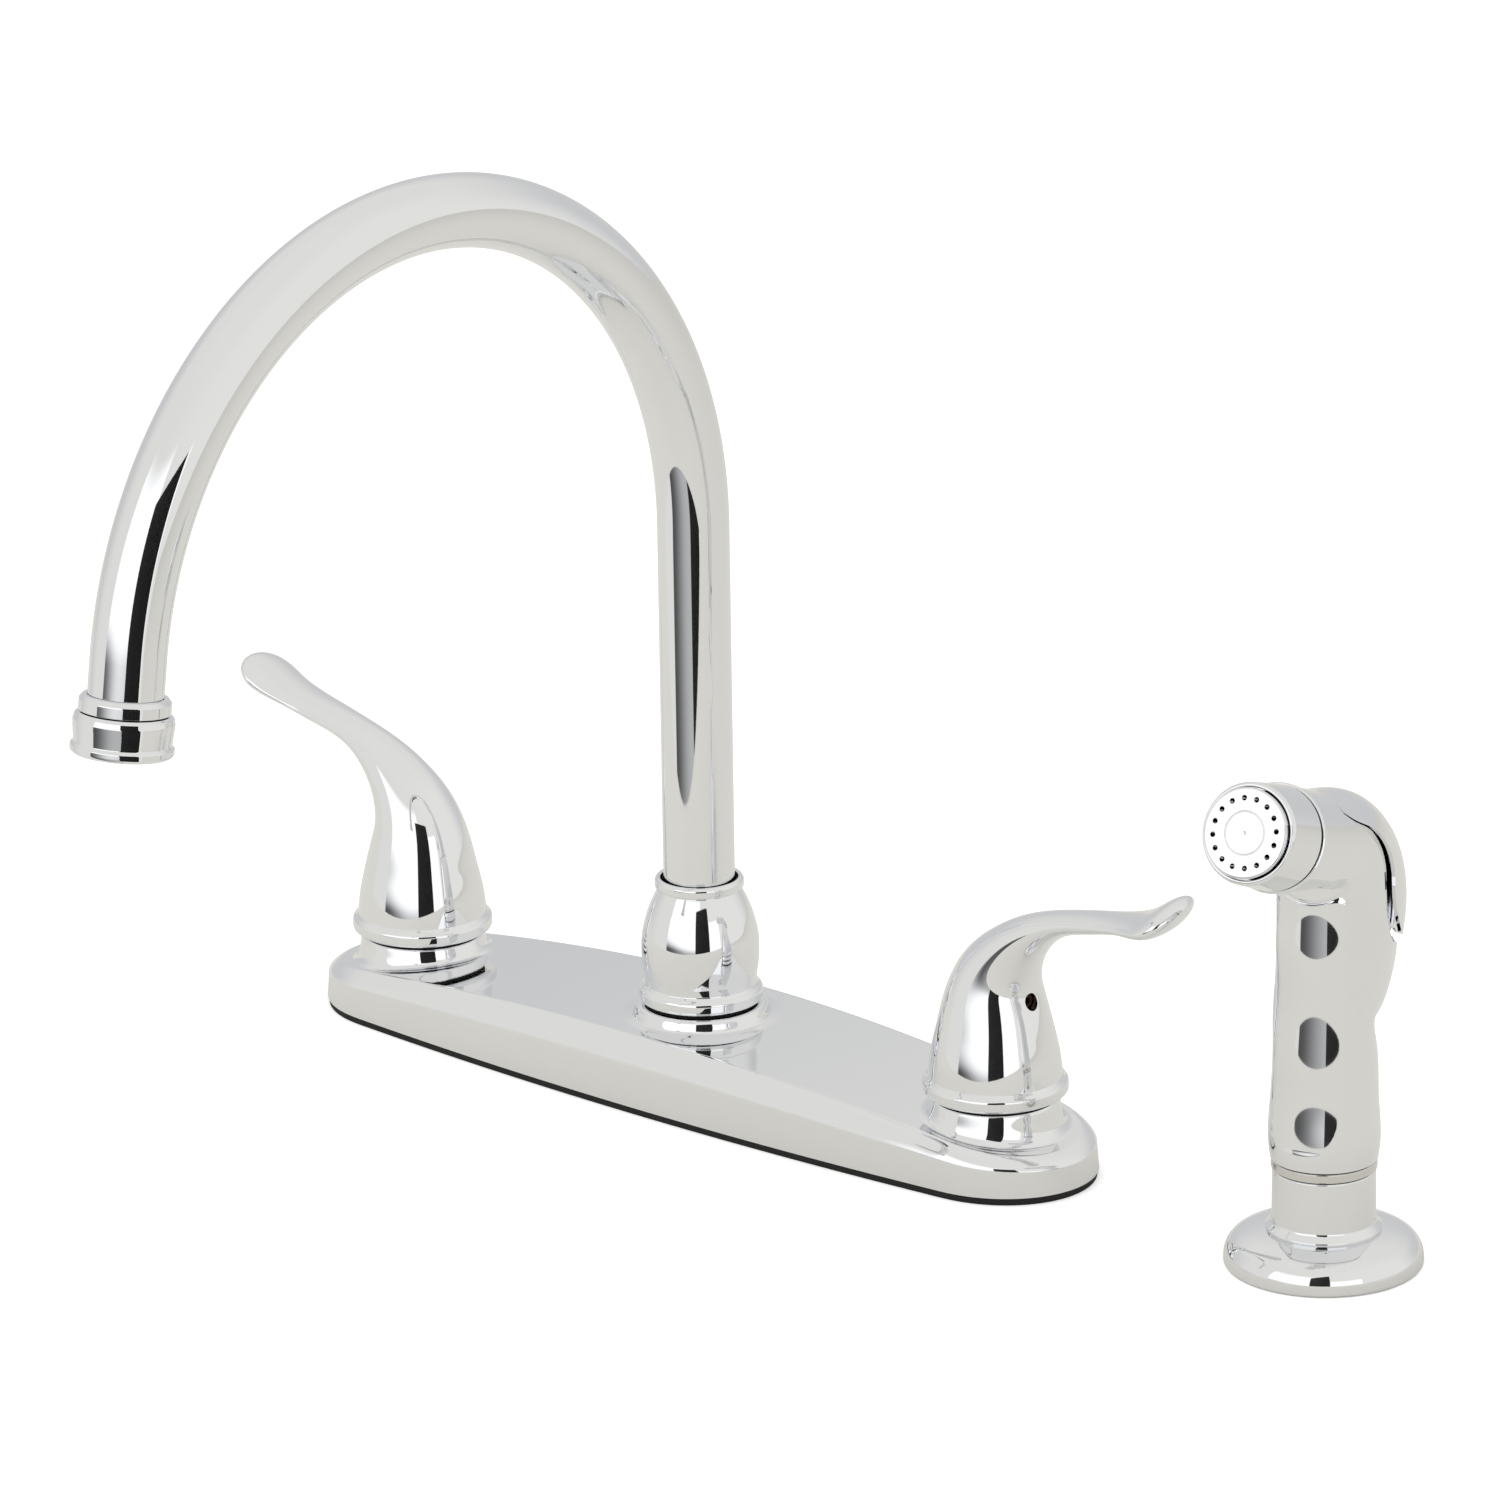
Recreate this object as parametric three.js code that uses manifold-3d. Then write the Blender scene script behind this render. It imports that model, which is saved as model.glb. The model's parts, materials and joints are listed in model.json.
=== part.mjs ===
// Deck-mounted two-handle kitchen faucet with a gooseneck spout and a side spray.
// Millimetres, +Z up. The origin is the centre of the spout's hole, on top of the sink deck.
// -Y is the front, towards the bowl; +X is the cold side, where the spray stands.
import * as THREE from 'three';
import { mergeVertices } from 'three/addons/utils/BufferGeometryUtils.js';
import Module from 'manifold-3d';

const wasm = await Module();
wasm.setup();

// ---------- driving dimensions ----------
const HOLE_PITCH = 101.6; // spout hole to each valve hole: 4 in
const GAP = 0.3; // running clearance between pieces
const SINK_DECK = 6; // thickness of the sink's deck under the gasket

// cover plate
const PLATE_HALF_WIDTH = 29.5; // at the spout
const PLATE_END_HALF_WIDTH = 25.2; // at the valves
const PLATE_END_REACH = 28.2; // past a valve's axis
const PLATE_TOP = 20.6; // at the spout
const PLATE_TOP_FALL = 9.6; // crown: how far the top falls to the ends
const PLATE_SIDE = 13; // crease between side and bevel, at the spout
const PLATE_SIDE_FALL = 4.4;
const PLATE_BEVEL = 4.5; // width of the bevel, seen from above
const PLATE_WALL = 2.2;
const GASKET_THICK = 2;
const GASKET_BAND = 6;
const GASKET_INSET = 0.4;

// collars of the plate
const VALVE_COLLAR_TOP = 21;
const VALVE_COLLAR_R = 16.6;
const VALVE_COLLAR_FOOT_R = 20.6;
const POST_COLLAR_TOP = 24.1;
const POST_COLLAR_R = 15.8;
const POST_COLLAR_FOOT_R = 21.2;

// valve
const SHANK_R = 10.4;
const SHANK_LENGTH = 52; // below the sink's top
const SHANK_BORE_R = 6.5;
const VALVE_FLANGE_R = 15.5;
const VALVE_BARREL_R = 12.3;
const VALVE_BARREL_TOP = 23.8;
const CARTRIDGE_R = 9.2;
const CARTRIDGE_WALL = 1;
const CARTRIDGE_FLOOR = 4.6;
const DISC_THICK = 3;
const DISC_PORT_R = 2.1;
const DISC_PORT_RING_R = 4.4;
const SEAL_THICK = 1.6;
const STEM_R = 4;
const STEM_FOOT_THICK = 3.2;
const BONNET_R = 14.6;
const BONNET_LID = 2.4;
const CHAMBER_R = 10.7; // round the cartridge, where its water comes out
const CHAMBER_TOP = 14.5;
const CROSSOVER_R = 3.8;
const CROSSOVER_BORE_R = 2.8;
const CROSSOVER_HEIGHT = 6.1;
const SOCKET_WALL = 1.2;
const SOCKET_REACH = 8;

// handle
const HANDLE_BEAD_R = 19.1;
const HANDLE_BEAD_HEIGHT = 4.9;
const HANDLE_TURN = -2; // degrees, the lever's lean out of the plate's length
const HANDLE_WALL = 2;
const HANDLE_CAVITY_TOP = 41;
const STEM_SOCKET_R = 7.2; // boss inside the handle that the stem plugs into
const STEM_SOCKET_FOOT = 34;
const STEM_ENGAGEMENT = 20;
const SET_SCREW_R = 2;
const SET_SCREW_HEIGHT = 49.5;
const SET_SCREW_RECESS = 2.5;
const SET_SCREW_KEY = 1; // hex key, half across corners
// Bell and lever: out along the lever, up, half thickness, half width and twist in degrees
// of each section
const HANDLE_SECTIONS = [
    [0, 25.6, 17.7, 17.7, 0],
    [0, 33, 16.9, 16.9, 0],
    [0, 40, 15.4, 15.4, 0],
    [0.2, 47, 13.7, 13.8, 0],
    [1.7, 54.3, 11.4, 11.9, 0],
    [6.2, 61.8, 8.2, 9.8, 0],
    [12.6, 67.8, 5.7, 7.9, 0],
    [23.3, 73.4, 3.4, 6.3, 0],
    [36.5, 76.7, 2.7, 6.8, 0],
    [47.7, 79.2, 2.4, 8.2, 3],
    [56, 81.8, 3.2, 10.4, 9],
    [63.5, 87.3, 3.2, 12.4, 13],
];

// spout
const SPOUT_R = 9.525; // 3/4 in tube
const SPOUT_WALL = 1.2;
const ARCH_R = 105; // to the tube's axis
const ARCH_CENTRE_HEIGHT = 156.4;
const OUTLET_LEAN = 8.5; // degrees, the outlet's lean away from the post
const OUTLET_STRAIGHT = 8.8;
const COLLAR_R = 11.5;
const COLLAR_LENGTH = 4.1;
const AERATOR_R = 12.7;
const AERATOR_LIP_R = 12.95;
const AERATOR_LENGTH = 10.8;
const AERATOR_LIP = 2.6;
const AERATOR_BORE_R = 9.4;
const SCREEN_HOLE_R = 1.1;
const SCREEN_RINGS = [[1, 0], [8, 5]]; // holes in each ring, ring radius

// spout post and hub
const POST_R = 11.8;
const POST_BASE_R = 15;
const POST_TOP = 34;
const POST_BORE_FLOOR = 17.5;
const HUB_BEAD_R = 16.55;
const HUB_BELLY_R = 15.75;
const HUB_RING_R = 11.9;
const HUB_TOP = 59.2;
const HUB_LIP_GAP = 0.8; // dark gap round the tube at the hub's mouth
const HUB_WALL = 2.2;
const BUSHING_TOP = 50;
const FOOT_FLANGE_R = 11.3;
const FOOT_FLANGE_THICK = 2.5;
const FOOT_PLUG_LENGTH = 9;
const O_RING_R = 0.7; // half the section
const DIVERTER_R = 5.2;
const DIVERTER_STROKE = 5;
const NIPPLE_R = 6.6;
const NIPPLE_BORE_R = 3.6;
const NIPPLE_LENGTH = 34; // below the sink's top

// fasteners under the sink
const WASHER_R = 21;
const WASHER_THICK = 2.4;
const NUT_R = 16;
const NUT_THICK = 7;
const NUT_WING = 9;

// spray holder
const SPRAY_X = 206.9; // fourth hole, about 4 in past the cold valve
const SPRAY_Y = 2.5;
const HOLDER_FLANGE_R = 25.4; // 2 in flange
const HOLDER_DOME_HEIGHT = 9.6;
const HOLDER_COLLAR_R = 13.15;
const HOLDER_TOP = 25.8;
const HOLDER_BORE_R = 10.6;
const HOLDER_THREAD_R = 12.7;
const HOLDER_LENGTH = 32; // below the sink's top
const HOLDER_NUT_R = 19;
const COUPLING_R = 13.5;
const COUPLING_RIM = 2.4; // height of the coupling's visible rim
const COUPLING_TAIL_R = 9.6;
const COUPLING_TAIL_END_R = 7.6;
const COUPLING_TAIL = 34;
const COUPLING_SPIGOT_R = 6;
const COUPLING_SPIGOT = 9;
const HOSE_BORE_R = 3;

// spray
const SPRAY_TURN = 9; // degrees, how the spray stands turned in its holder
const NOZZLE_TILT = 20.85; // degrees above level
const NOZZLE_R = 13.4;
const NOZZLE_FRONT_R = 12.8;
const NOZZLE_LENGTH = 14.6;
const NOZZLE_REACH = 27.1; // spray axis to the nozzle's joint
const NOZZLE_HEIGHT = 121.5; // of the joint's centre; the head's heights are measured from it
const NOZZLE_JOINT_R = 13.5;
const NECK_R = 9; // stub of the body that carries the nozzle
const NECK_LENGTH = 5;
const NECK_WAY = 16; // how far the waterway rises past the plunger
const FACE_R = 11.2;
const FACE_THICK = 1.8;
const FACE_PROUD = 1.6; // how far the face stands out of its rim
const FACE_HOLES = 16;
const FACE_HOLE_R = 0.55;
const FACE_HOLE_RING_R = 8.7;
// Waves of the grip's front for the fingers: the height of each hollow and of the swell below
const FINGER_HOLLOWS = [[96.6, 85], [70.6, 54.8], [48.1, 34]];
const FINGER_HOLLOW_DEPTH = 1.3;
const FINGER_HOLLOW_R = 18.5; // round the grip's front, flatter than the grip
// Grip's sections from its foot up: forward of the axis, up, half depth and half width
const GRIP_SECTIONS = [
    [0, 28.9, 13.7, 13.7],
    [0, 32, 14.1, 14.1],
    [0, 45, 13.7, 13.7],
    [0, 57, 13.2, 13.2],
    [0, 68.5, 12.9, 13],
];
// Head's sections, with their heights from the nozzle's centre
const HEAD_SECTIONS = [
    [-2.6, -48.5, 15.9, 13.3],
    [-4.5, -44, 18.3, 13.5],
    [-5.7, -38.5, 20, 13.6],
    [-5.9, -32.5, 20.4, 13.4],
    [-4.9, -25.5, 19.6, 13],
    [-3.6, -18.5, 18.3, 12.9],
    [0.8, -11.5, 15, 12.9],
    [10, -6.5, 13.4, 13.3],
];
// Trigger's outer skin, in the same terms
const TRIGGER_SECTIONS = [
    [-6.2, -39, 20.8, 13.8],
    [-8, -29.5, 23, 14],
    [-6.4, -20.5, 21.4, 14],
    [-1, -11.9, 16.6, 13.9],
    [10, -6.5, 13.5, 13.6],
];
const TRIGGER_PROUD = 0.2; // how far its front edge stands over the head
// Trigger's outline seen from the side: forward of the axis, up from the nozzle's centre
const TRIGGER_OUTLINE = [
    [-10.8, -23.5], [-12.8, -30.5], [-17, -36], [-26, -38.5], [-31.5, -33], [-60, -33], [-60, 28.5],
    [9.5, 28.5], [9.5, 3], [6, 0.3], [0, -3], [-6, -7.5], [-9.8, -13], [-11, -18.5],
];
const TRIGGER_WALL = [2.2, 0.9]; // at its back and at its sides
const TRIGGER_TRAVEL = 8; // degrees
const TRIGGER_POSES = 9; // steps of its travel that its room is cut in
const TRIGGER_PIVOT = [-5.5, -2.5]; // forward of the axis, up from the nozzle's centre
const TRIGGER_KNUCKLE_R = 2.4;
const TRIGGER_KNUCKLE_WIDTH = 9;
const TRIGGER_PIN_R = 1.1;
const TRIGGER_PIN_HALF = 8;
const PLUNGER_DROP = 24.5; // nozzle's centre down to the plunger's axis
const PLUNGER_R = 1.6;
const PLUNGER_SHOULDER_R = 3.6;
const PLUNGER_SHOULDER = 2;
const PLUNGER_FOOT = 3; // how far behind the spray's axis the plunger starts
const PLUNGER_HEAD = 27.1; // and ends, at the trigger's inner face
const PLUNGER_STROKE = 3.1;
const VALVE_BORE_FLOOR = -9;
const VALVE_BORE_R = 5;
const GLAND_R = 6.8;
const GLAND_THICK = 3;
const GLAND_BACK = 20.9; // how far behind the spray's axis the gland's face lies
const SPRING_R = 3.2;
const SPRING_WIRE_R = 0.45;
const SPRING_TURNS = 4;

// facets
const FINE = 18; // forms that are seen
const PLAIN = 14; // turned pieces that are hidden
const FEW = 10; // hidden rings that nothing turns in
const SMALL = 8; // ports, pins and screws
const ARCH_STEPS = 20;
const LOFT_STEPS = 13;
const LOFT_SIDES = 16;
const GROOVE_SIDES = 30;
const FRONT_POINTS = 200; // along the grip's front, to find its reach at a height

// ---------- solids ----------
const V = (x, y, z) => new THREE.Vector3(x, y, z);
const rad = THREE.MathUtils.degToRad;

function solid(geometry) {
    const bare = geometry.clone();
    bare.deleteAttribute('normal');
    bare.deleteAttribute('uv');
    const merged = mergeVertices(bare, 1e-4);
    const index = merged.index.array;
    const kept = [];
    for (let i = 0; i < index.length; i += 3) {
        const [a, b, c] = [index[i], index[i + 1], index[i + 2]];
        if (a !== b && b !== c && c !== a) kept.push(a, b, c);
    }
    return new wasm.Manifold(new wasm.Mesh({
        numProp: 3,
        vertProperties: new Float32Array(merged.attributes.position.array),
        triVerts: new Uint32Array(kept),
    }));
}

function join(...pieces) {
    return pieces.reduce((whole, piece) => whole.add(piece));
}

function cut(whole, ...tools) {
    return tools.reduce((left, tool) => left.subtract(tool), whole);
}

function toGeometry(piece) {
    const { vertProperties, triVerts } = piece.getMesh();
    const geometry = new THREE.BufferGeometry();
    geometry.setAttribute('position', new THREE.BufferAttribute(vertProperties, 3));
    geometry.setIndex(new THREE.BufferAttribute(triVerts, 1));
    geometry.computeVertexNormals();
    return geometry;
}

// Solid of revolution about Z from [radius, height] corners. A section that doesn't touch
// the axis closes on itself, which makes a ring.
function turned(corners, sides = PLAIN) {
    const closed = corners[0][0] > 0;
    const section = closed ? [...corners, corners[0]] : [...corners];
    let area = 0;
    for (let i = 0; i < section.length; i += 1) {
        const [r0, z0] = section[i];
        const [r1, z1] = section[(i + 1) % section.length];
        area += r0 * z1 - r1 * z0;
    }
    if (area < 0) section.reverse();
    const lathe = new THREE.LatheGeometry(section.map(([r, z]) => new THREE.Vector2(r, z)), sides);
    return solid(lathe.rotateX(Math.PI / 2));
}

const disc = (r, low, high, sides) => turned([[0, low], [r, low], [r, high], [0, high]], sides);

const ring = (inner, outer, low, high, sides) => turned(
    [[inner, low], [outer, low], [outer, high], [inner, high]], sides);

function oRing(r, height, section, sides = PLAIN) {
    const corners = [];
    for (let i = 0; i < 5; i += 1) {
        const angle = (i * 2 * Math.PI) / 5;
        corners.push([r + section * Math.cos(angle), height + section * Math.sin(angle)]);
    }
    return turned(corners, sides);
}

function block(low, high) {
    const size = high.map((v, i) => v - low[i]);
    const box = new THREE.BoxGeometry(...size);
    return solid(box.translate(...high.map((v, i) => (v + low[i]) / 2)));
}

function hexagon(r, low, high) {
    const nut = new THREE.CylinderGeometry(r, r, high - low, 6).rotateX(Math.PI / 2);
    return solid(nut.translate(0, 0, (low + high) / 2));
}

// Shape pushed along a curve
function along(path, r, sides, steps) {
    const shape = new THREE.Shape();
    for (let i = 0; i < sides; i += 1) {
        const angle = (2 * Math.PI * i) / sides;
        const point = [r * Math.cos(angle), r * Math.sin(angle)];
        if (i === 0) shape.moveTo(...point);
        else shape.lineTo(...point);
    }
    return solid(new THREE.ExtrudeGeometry(shape, { extrudePath: path, steps, curveSegments: 1 }));
}

// Skin over a row of closed loops with equally many points. Each end is closed by strips
// between the points that face each other across the loop.
function skin(loops) {
    const count = loops[0].length;
    const positions = loops.flat().flatMap((p) => [p.x, p.y, p.z]);
    const index = [];
    for (let k = 0; k + 1 < loops.length; k += 1) {
        for (let i = 0; i < count; i += 1) {
            const j = (i + 1) % count;
            const [a, b] = [k * count + i, k * count + j];
            index.push(a, b, b + count, a, b + count, a + count);
        }
    }
    const last = (loops.length - 1) * count;
    for (let i = 0; i < count / 2 - 1; i += 1) {
        const [a, b, c, d] = [i, i + 1, count - 2 - i, count - 1 - i];
        index.push(a, c, b, a, d, c);
        index.push(last + a, last + b, last + c, last + a, last + c, last + d);
    }
    const geometry = new THREE.BufferGeometry();
    geometry.setAttribute('position', new THREE.Float32BufferAttribute(positions, 3));
    geometry.setIndex(index);
    return solid(geometry);
}

function turn(piece, x, y, z) {
    return piece.rotate([x, y, z]);
}

function shift(piece, x, y, z) {
    return piece.translate([x, y, z]);
}

// Elliptical sections square to a spine in the X-Z plane, smoothed between the given ones.
// `grow` moves the skin out, `round` closes the far end like a fingertip.
function lofted(sections, { grow = [0, 0], round = 0, steps = LOFT_STEPS, sides = LOFT_SIDES } = {}) {
    const spine = new THREE.CatmullRomCurve3(sections.map(([u, z]) => V(u, 0, z)));
    const halves = new THREE.CatmullRomCurve3(sections.map(([, , a, b, twist = 0]) => V(a, b, twist)));
    const places = [];
    for (let i = 0; i <= steps; i += 1) places.push((i / steps) * (1 - round));
    const tipSteps = 3;
    for (let i = 1; round > 0 && i <= tipSteps; i += 1) {
        places.push(1 - round + round * Math.sin((i / (tipSteps + 0.3)) * (Math.PI / 2)));
    }
    const loops = places.map((t) => {
        const centre = spine.getPoint(t);
        const forward = spine.getTangent(t);
        const half = halves.getPoint(t);
        const [cos, sin] = [Math.cos(rad(half.z)), Math.sin(rad(half.z))];
        const tip = round > 0 ? Math.max(0, (t - 1 + round) / round) : 0;
        const a = (half.x + grow[0]) * Math.sqrt(1 - tip ** 4);
        const b = (half.y + grow[1]) * Math.sqrt(1 - tip ** 2);
        const loop = [];
        for (let i = 0; i < sides; i += 1) {
            const angle = (2 * Math.PI * (i + 0.5)) / sides;
            const [up, out] = [a * Math.cos(angle), b * Math.sin(angle)];
            const across = up * cos - out * sin;
            loop.push(V(
                centre.x + forward.z * across, up * sin + out * cos, centre.z - forward.x * across));
        }
        return loop;
    });
    return skin(loops);
}

// ---------- cover plate ----------
const plateHalfLength = HOLE_PITCH + PLATE_END_REACH;
const crown = (x) => PLATE_TOP - PLATE_TOP_FALL * (x / plateHalfLength) ** 2;
const crease = (x) => PLATE_SIDE - PLATE_SIDE_FALL * (x / plateHalfLength) ** 2;

// Loop round the plate, `inset` in from its edge, at the height that `heightAt` gives for
// each x. It starts at the left end, so that facing points share their x.
function plateLoop(inset, heightAt) {
    const sideSteps = 6;
    const endSteps = 6;
    const front = [];
    for (let i = 0; i < endSteps; i += 1) {
        const angle = ((i + 0.5) / endSteps) * (Math.PI / 2);
        front.push([
            -HOLE_PITCH - (PLATE_END_REACH - inset) * Math.cos(angle),
            (PLATE_END_HALF_WIDTH - inset) * Math.sin(angle),
        ]);
    }
    for (let i = 0; i <= sideSteps; i += 1) {
        const x = HOLE_PITCH * ((2 * i) / sideSteps - 1);
        const bow = (PLATE_HALF_WIDTH - PLATE_END_HALF_WIDTH) * (1 - (x / HOLE_PITCH) ** 2);
        front.push([x, PLATE_END_HALF_WIDTH + bow - inset]);
    }
    for (let i = endSteps - 1; i >= 0; i -= 1) front.push([-front[i][0], front[i][1]]);
    const back = [...front].reverse();
    return [
        ...front.map(([x, y]) => V(x, -y, heightAt(x))),
        ...back.map(([x, y]) => V(x, y, heightAt(x))),
    ];
}

// Plate's outer form from `floor` up, or its hollow when `wall` is more than nothing
function plateForm(wall, floor) {
    const rise = (share) => (x) => crease(x) + share * (crown(x) - crease(x)) - wall;
    const rounding = wall > 0 ? [] : [
        plateLoop(0.22 * PLATE_BEVEL, rise(0.3)),
        plateLoop(0.52 * PLATE_BEVEL, rise(0.72)),
    ];
    return skin([
        plateLoop(wall, () => floor),
        plateLoop(wall + 0.5, rise(0)),
        ...rounding,
        plateLoop(wall + PLATE_BEVEL, rise(1)),
    ]);
}

// Cove that rises from the plate to a collar's rim
function collar(footR, rimR, footHeight, rimHeight) {
    const [dr, dz] = [footR - rimR, rimHeight - footHeight];
    return turned([
        [0, footHeight - 3],
        [footR - 0.3, footHeight - 3],
        [footR, footHeight],
        [footR - 0.4 * dr, footHeight + 0.3 * dz],
        [footR - 0.88 * dr, footHeight + 0.66 * dz],
        [rimR, rimHeight],
        [0, rimHeight],
    ], FINE);
}

function deckPlate() {
    const outer = plateForm(0, GASKET_THICK + GAP);
    const hollow = plateForm(PLATE_WALL, GASKET_THICK - 1);
    const valveCollar = collar(VALVE_COLLAR_FOOT_R, VALVE_COLLAR_R, crown(HOLE_PITCH), VALVE_COLLAR_TOP);
    const valveHole = disc(VALVE_BARREL_R + GAP, 0, VALVE_COLLAR_TOP + 1, FINE);
    const sides = [-HOLE_PITCH, HOLE_PITCH];
    return cut(
        join(
            cut(outer, hollow),
            collar(POST_COLLAR_FOOT_R, POST_COLLAR_R, crown(0), POST_COLLAR_TOP),
            ...sides.map((x) => shift(valveCollar, x, 0, 0)),
        ),
        disc(POST_R + GAP, 0, POST_COLLAR_TOP + 1, FINE),
        ...sides.map((x) => shift(valveHole, x, 0, 0)),
    );
}

function deckGasket() {
    const edge = (inset) => plateLoop(inset, () => 0).map((p) => new THREE.Vector2(p.x, p.y));
    const band = new THREE.Shape(edge(GASKET_INSET));
    band.holes.push(new THREE.Path(edge(GASKET_INSET + GASKET_BAND)));
    return solid(new THREE.ExtrudeGeometry(band, { depth: GASKET_THICK, bevelEnabled: false }));
}

// ---------- valves ----------
const sealFloor = CARTRIDGE_FLOOR + GAP;
const fixedDiscFloor = sealFloor + SEAL_THICK + GAP;
const movingDiscFloor = fixedDiscFloor + DISC_THICK + GAP;
const stemFoot = movingDiscFloor + DISC_THICK + GAP;
const stemShoulder = stemFoot + STEM_FOOT_THICK;
const cartridgeBoreR = CARTRIDGE_R - CARTRIDGE_WALL;
const cartridgeFlangeTop = VALVE_BARREL_TOP + GAP + 2;
const bonnetTop = cartridgeFlangeTop + GAP + BONNET_LID;
const stemTop = STEM_SOCKET_FOOT + STEM_ENGAGEMENT;
const socketR = CROSSOVER_R + SOCKET_WALL;

// Valve body with the socket of its crossover tube on the -X side
function valveBody() {
    const body = turned([
        [0, -SHANK_LENGTH],
        [SHANK_R - 1, -SHANK_LENGTH],
        [SHANK_R, -SHANK_LENGTH + 1],
        [SHANK_R, 0.4],
        [VALVE_FLANGE_R, 0.4],
        [VALVE_FLANGE_R, 3.6],
        [VALVE_BARREL_R, 4.4],
        [VALVE_BARREL_R, VALVE_BARREL_TOP],
        [0, VALVE_BARREL_TOP],
    ]);
    const socket = shift(turn(disc(socketR, 0, VALVE_FLANGE_R + 4), 0, -90, 0), 0, 0, CROSSOVER_HEIGHT);
    const socketBore = shift(
        turn(disc(CROSSOVER_R + GAP, 0, SOCKET_REACH), 0, -90, 0), -VALVE_FLANGE_R + 2, 0, CROSSOVER_HEIGHT);
    const port = shift(
        turn(disc(CROSSOVER_BORE_R, 0, VALVE_FLANGE_R, SMALL), 0, -90, 0), 0, 0, CROSSOVER_HEIGHT);
    return cut(
        join(body, socket),
        disc(SHANK_BORE_R, -SHANK_LENGTH - 1, CARTRIDGE_FLOOR + 1),
        disc(CARTRIDGE_R + GAP, CARTRIDGE_FLOOR - GAP, VALVE_BARREL_TOP + 1),
        disc(CHAMBER_R, CARTRIDGE_FLOOR + 1, CHAMBER_TOP),
        socketBore,
        port,
    );
}

function cartridgeShell() {
    const shell = turned([
        [cartridgeBoreR, CARTRIDGE_FLOOR],
        [CARTRIDGE_R, CARTRIDGE_FLOOR],
        [CARTRIDGE_R, VALVE_BARREL_TOP + GAP],
        [VALVE_BARREL_R, VALVE_BARREL_TOP + GAP],
        [VALVE_BARREL_R, cartridgeFlangeTop],
        [STEM_R + GAP, cartridgeFlangeTop],
        [STEM_R + GAP, stemShoulder + GAP],
        [cartridgeBoreR, stemShoulder + GAP],
    ]);
    const window = block(
        [-CARTRIDGE_R - 1, -3, movingDiscFloor + 0.4],
        [CARTRIDGE_R + 1, 3, movingDiscFloor + DISC_THICK - 0.4]);
    return cut(shell, window);
}

const seatSeal = () => ring(2.6, cartridgeBoreR - GAP, sealFloor, sealFloor + SEAL_THICK, FEW);

function portedDisc(floor, portAngle) {
    const plate = disc(cartridgeBoreR - GAP, floor, floor + DISC_THICK);
    const port = (angle) => shift(
        disc(DISC_PORT_R, floor - 1, floor + DISC_THICK + 1, SMALL),
        DISC_PORT_RING_R * Math.cos(rad(angle)), DISC_PORT_RING_R * Math.sin(rad(angle)), 0);
    return cut(plate, port(portAngle), port(portAngle + 180));
}

function valveStem() {
    return turned([
        [0, stemFoot],
        [cartridgeBoreR - GAP, stemFoot],
        [cartridgeBoreR - GAP, stemShoulder],
        [STEM_R, stemShoulder],
        [STEM_R, stemTop - 0.8],
        [STEM_R - 0.8, stemTop],
        [0, stemTop],
    ]);
}

function bonnetNut() {
    const nut = join(
        disc(BONNET_R, VALVE_COLLAR_TOP + GAP, VALVE_COLLAR_TOP + GAP + 1.6),
        hexagon(BONNET_R, VALVE_COLLAR_TOP + GAP + 1, bonnetTop),
    );
    return cut(
        nut,
        disc(VALVE_BARREL_R + GAP, VALVE_COLLAR_TOP, cartridgeFlangeTop + GAP),
        disc(STEM_R + 2.4, VALVE_COLLAR_TOP, bonnetTop + 1),
    );
}

// Bell and lever in one casting, with the lever towards +X
function handle() {
    const foot = VALVE_COLLAR_TOP + GAP;
    const bead = turned([
        [0, foot],
        [HANDLE_BEAD_R - 1.3, foot],
        [HANDLE_BEAD_R, foot + 0.32 * HANDLE_BEAD_HEIGHT],
        [HANDLE_BEAD_R, foot + 0.64 * HANDLE_BEAD_HEIGHT],
        [HANDLE_BEAD_R - 1.4, foot + HANDLE_BEAD_HEIGHT],
        [0, foot + HANDLE_BEAD_HEIGHT],
    ], FINE);
    const cavity = turned([
        [0, foot - 1],
        [HANDLE_SECTIONS[0][2] - HANDLE_WALL, foot - 1],
        [HANDLE_SECTIONS[0][2] - HANDLE_WALL, HANDLE_SECTIONS[0][1]],
        [HANDLE_SECTIONS[1][2] - HANDLE_WALL, HANDLE_SECTIONS[1][1]],
        [HANDLE_SECTIONS[2][2] - HANDLE_WALL, HANDLE_CAVITY_TOP],
        [STEM_SOCKET_R, HANDLE_CAVITY_TOP],
        [STEM_SOCKET_R, STEM_SOCKET_FOOT],
        [0, STEM_SOCKET_FOOT],
    ], PLAIN);
    const stemBore = disc(STEM_R + GAP, foot, stemTop + GAP);
    const screwHole = shift(
        turn(disc(SET_SCREW_R + GAP, 0, 2 * HANDLE_BEAD_R, SMALL), 0, 90, 0),
        STEM_R - 1, 0, SET_SCREW_HEIGHT);
    return cut(
        join(bead, lofted(HANDLE_SECTIONS, { round: 0.1 })), cavity, stemBore, screwHole);
}

// Headless screw that grips the stem from under the lever
function setScrew() {
    const start = STEM_R + GAP;
    const end = HANDLE_SECTIONS[3][2] - SET_SCREW_RECESS;
    const screw = cut(disc(SET_SCREW_R, start, end, SMALL), hexagon(SET_SCREW_KEY, end - 1.6, end + 1));
    return shift(turn(screw, 0, 90, 0), 0, 0, SET_SCREW_HEIGHT);
}

function crossoverTube() {
    const inner = POST_BASE_R + 1;
    const outer = HOLE_PITCH - VALVE_FLANGE_R - 1;
    const pipe = ring(CROSSOVER_BORE_R, CROSSOVER_R, inner, outer, FEW);
    return shift(turn(pipe, 0, 90, 0), 0, 0, CROSSOVER_HEIGHT);
}

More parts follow.
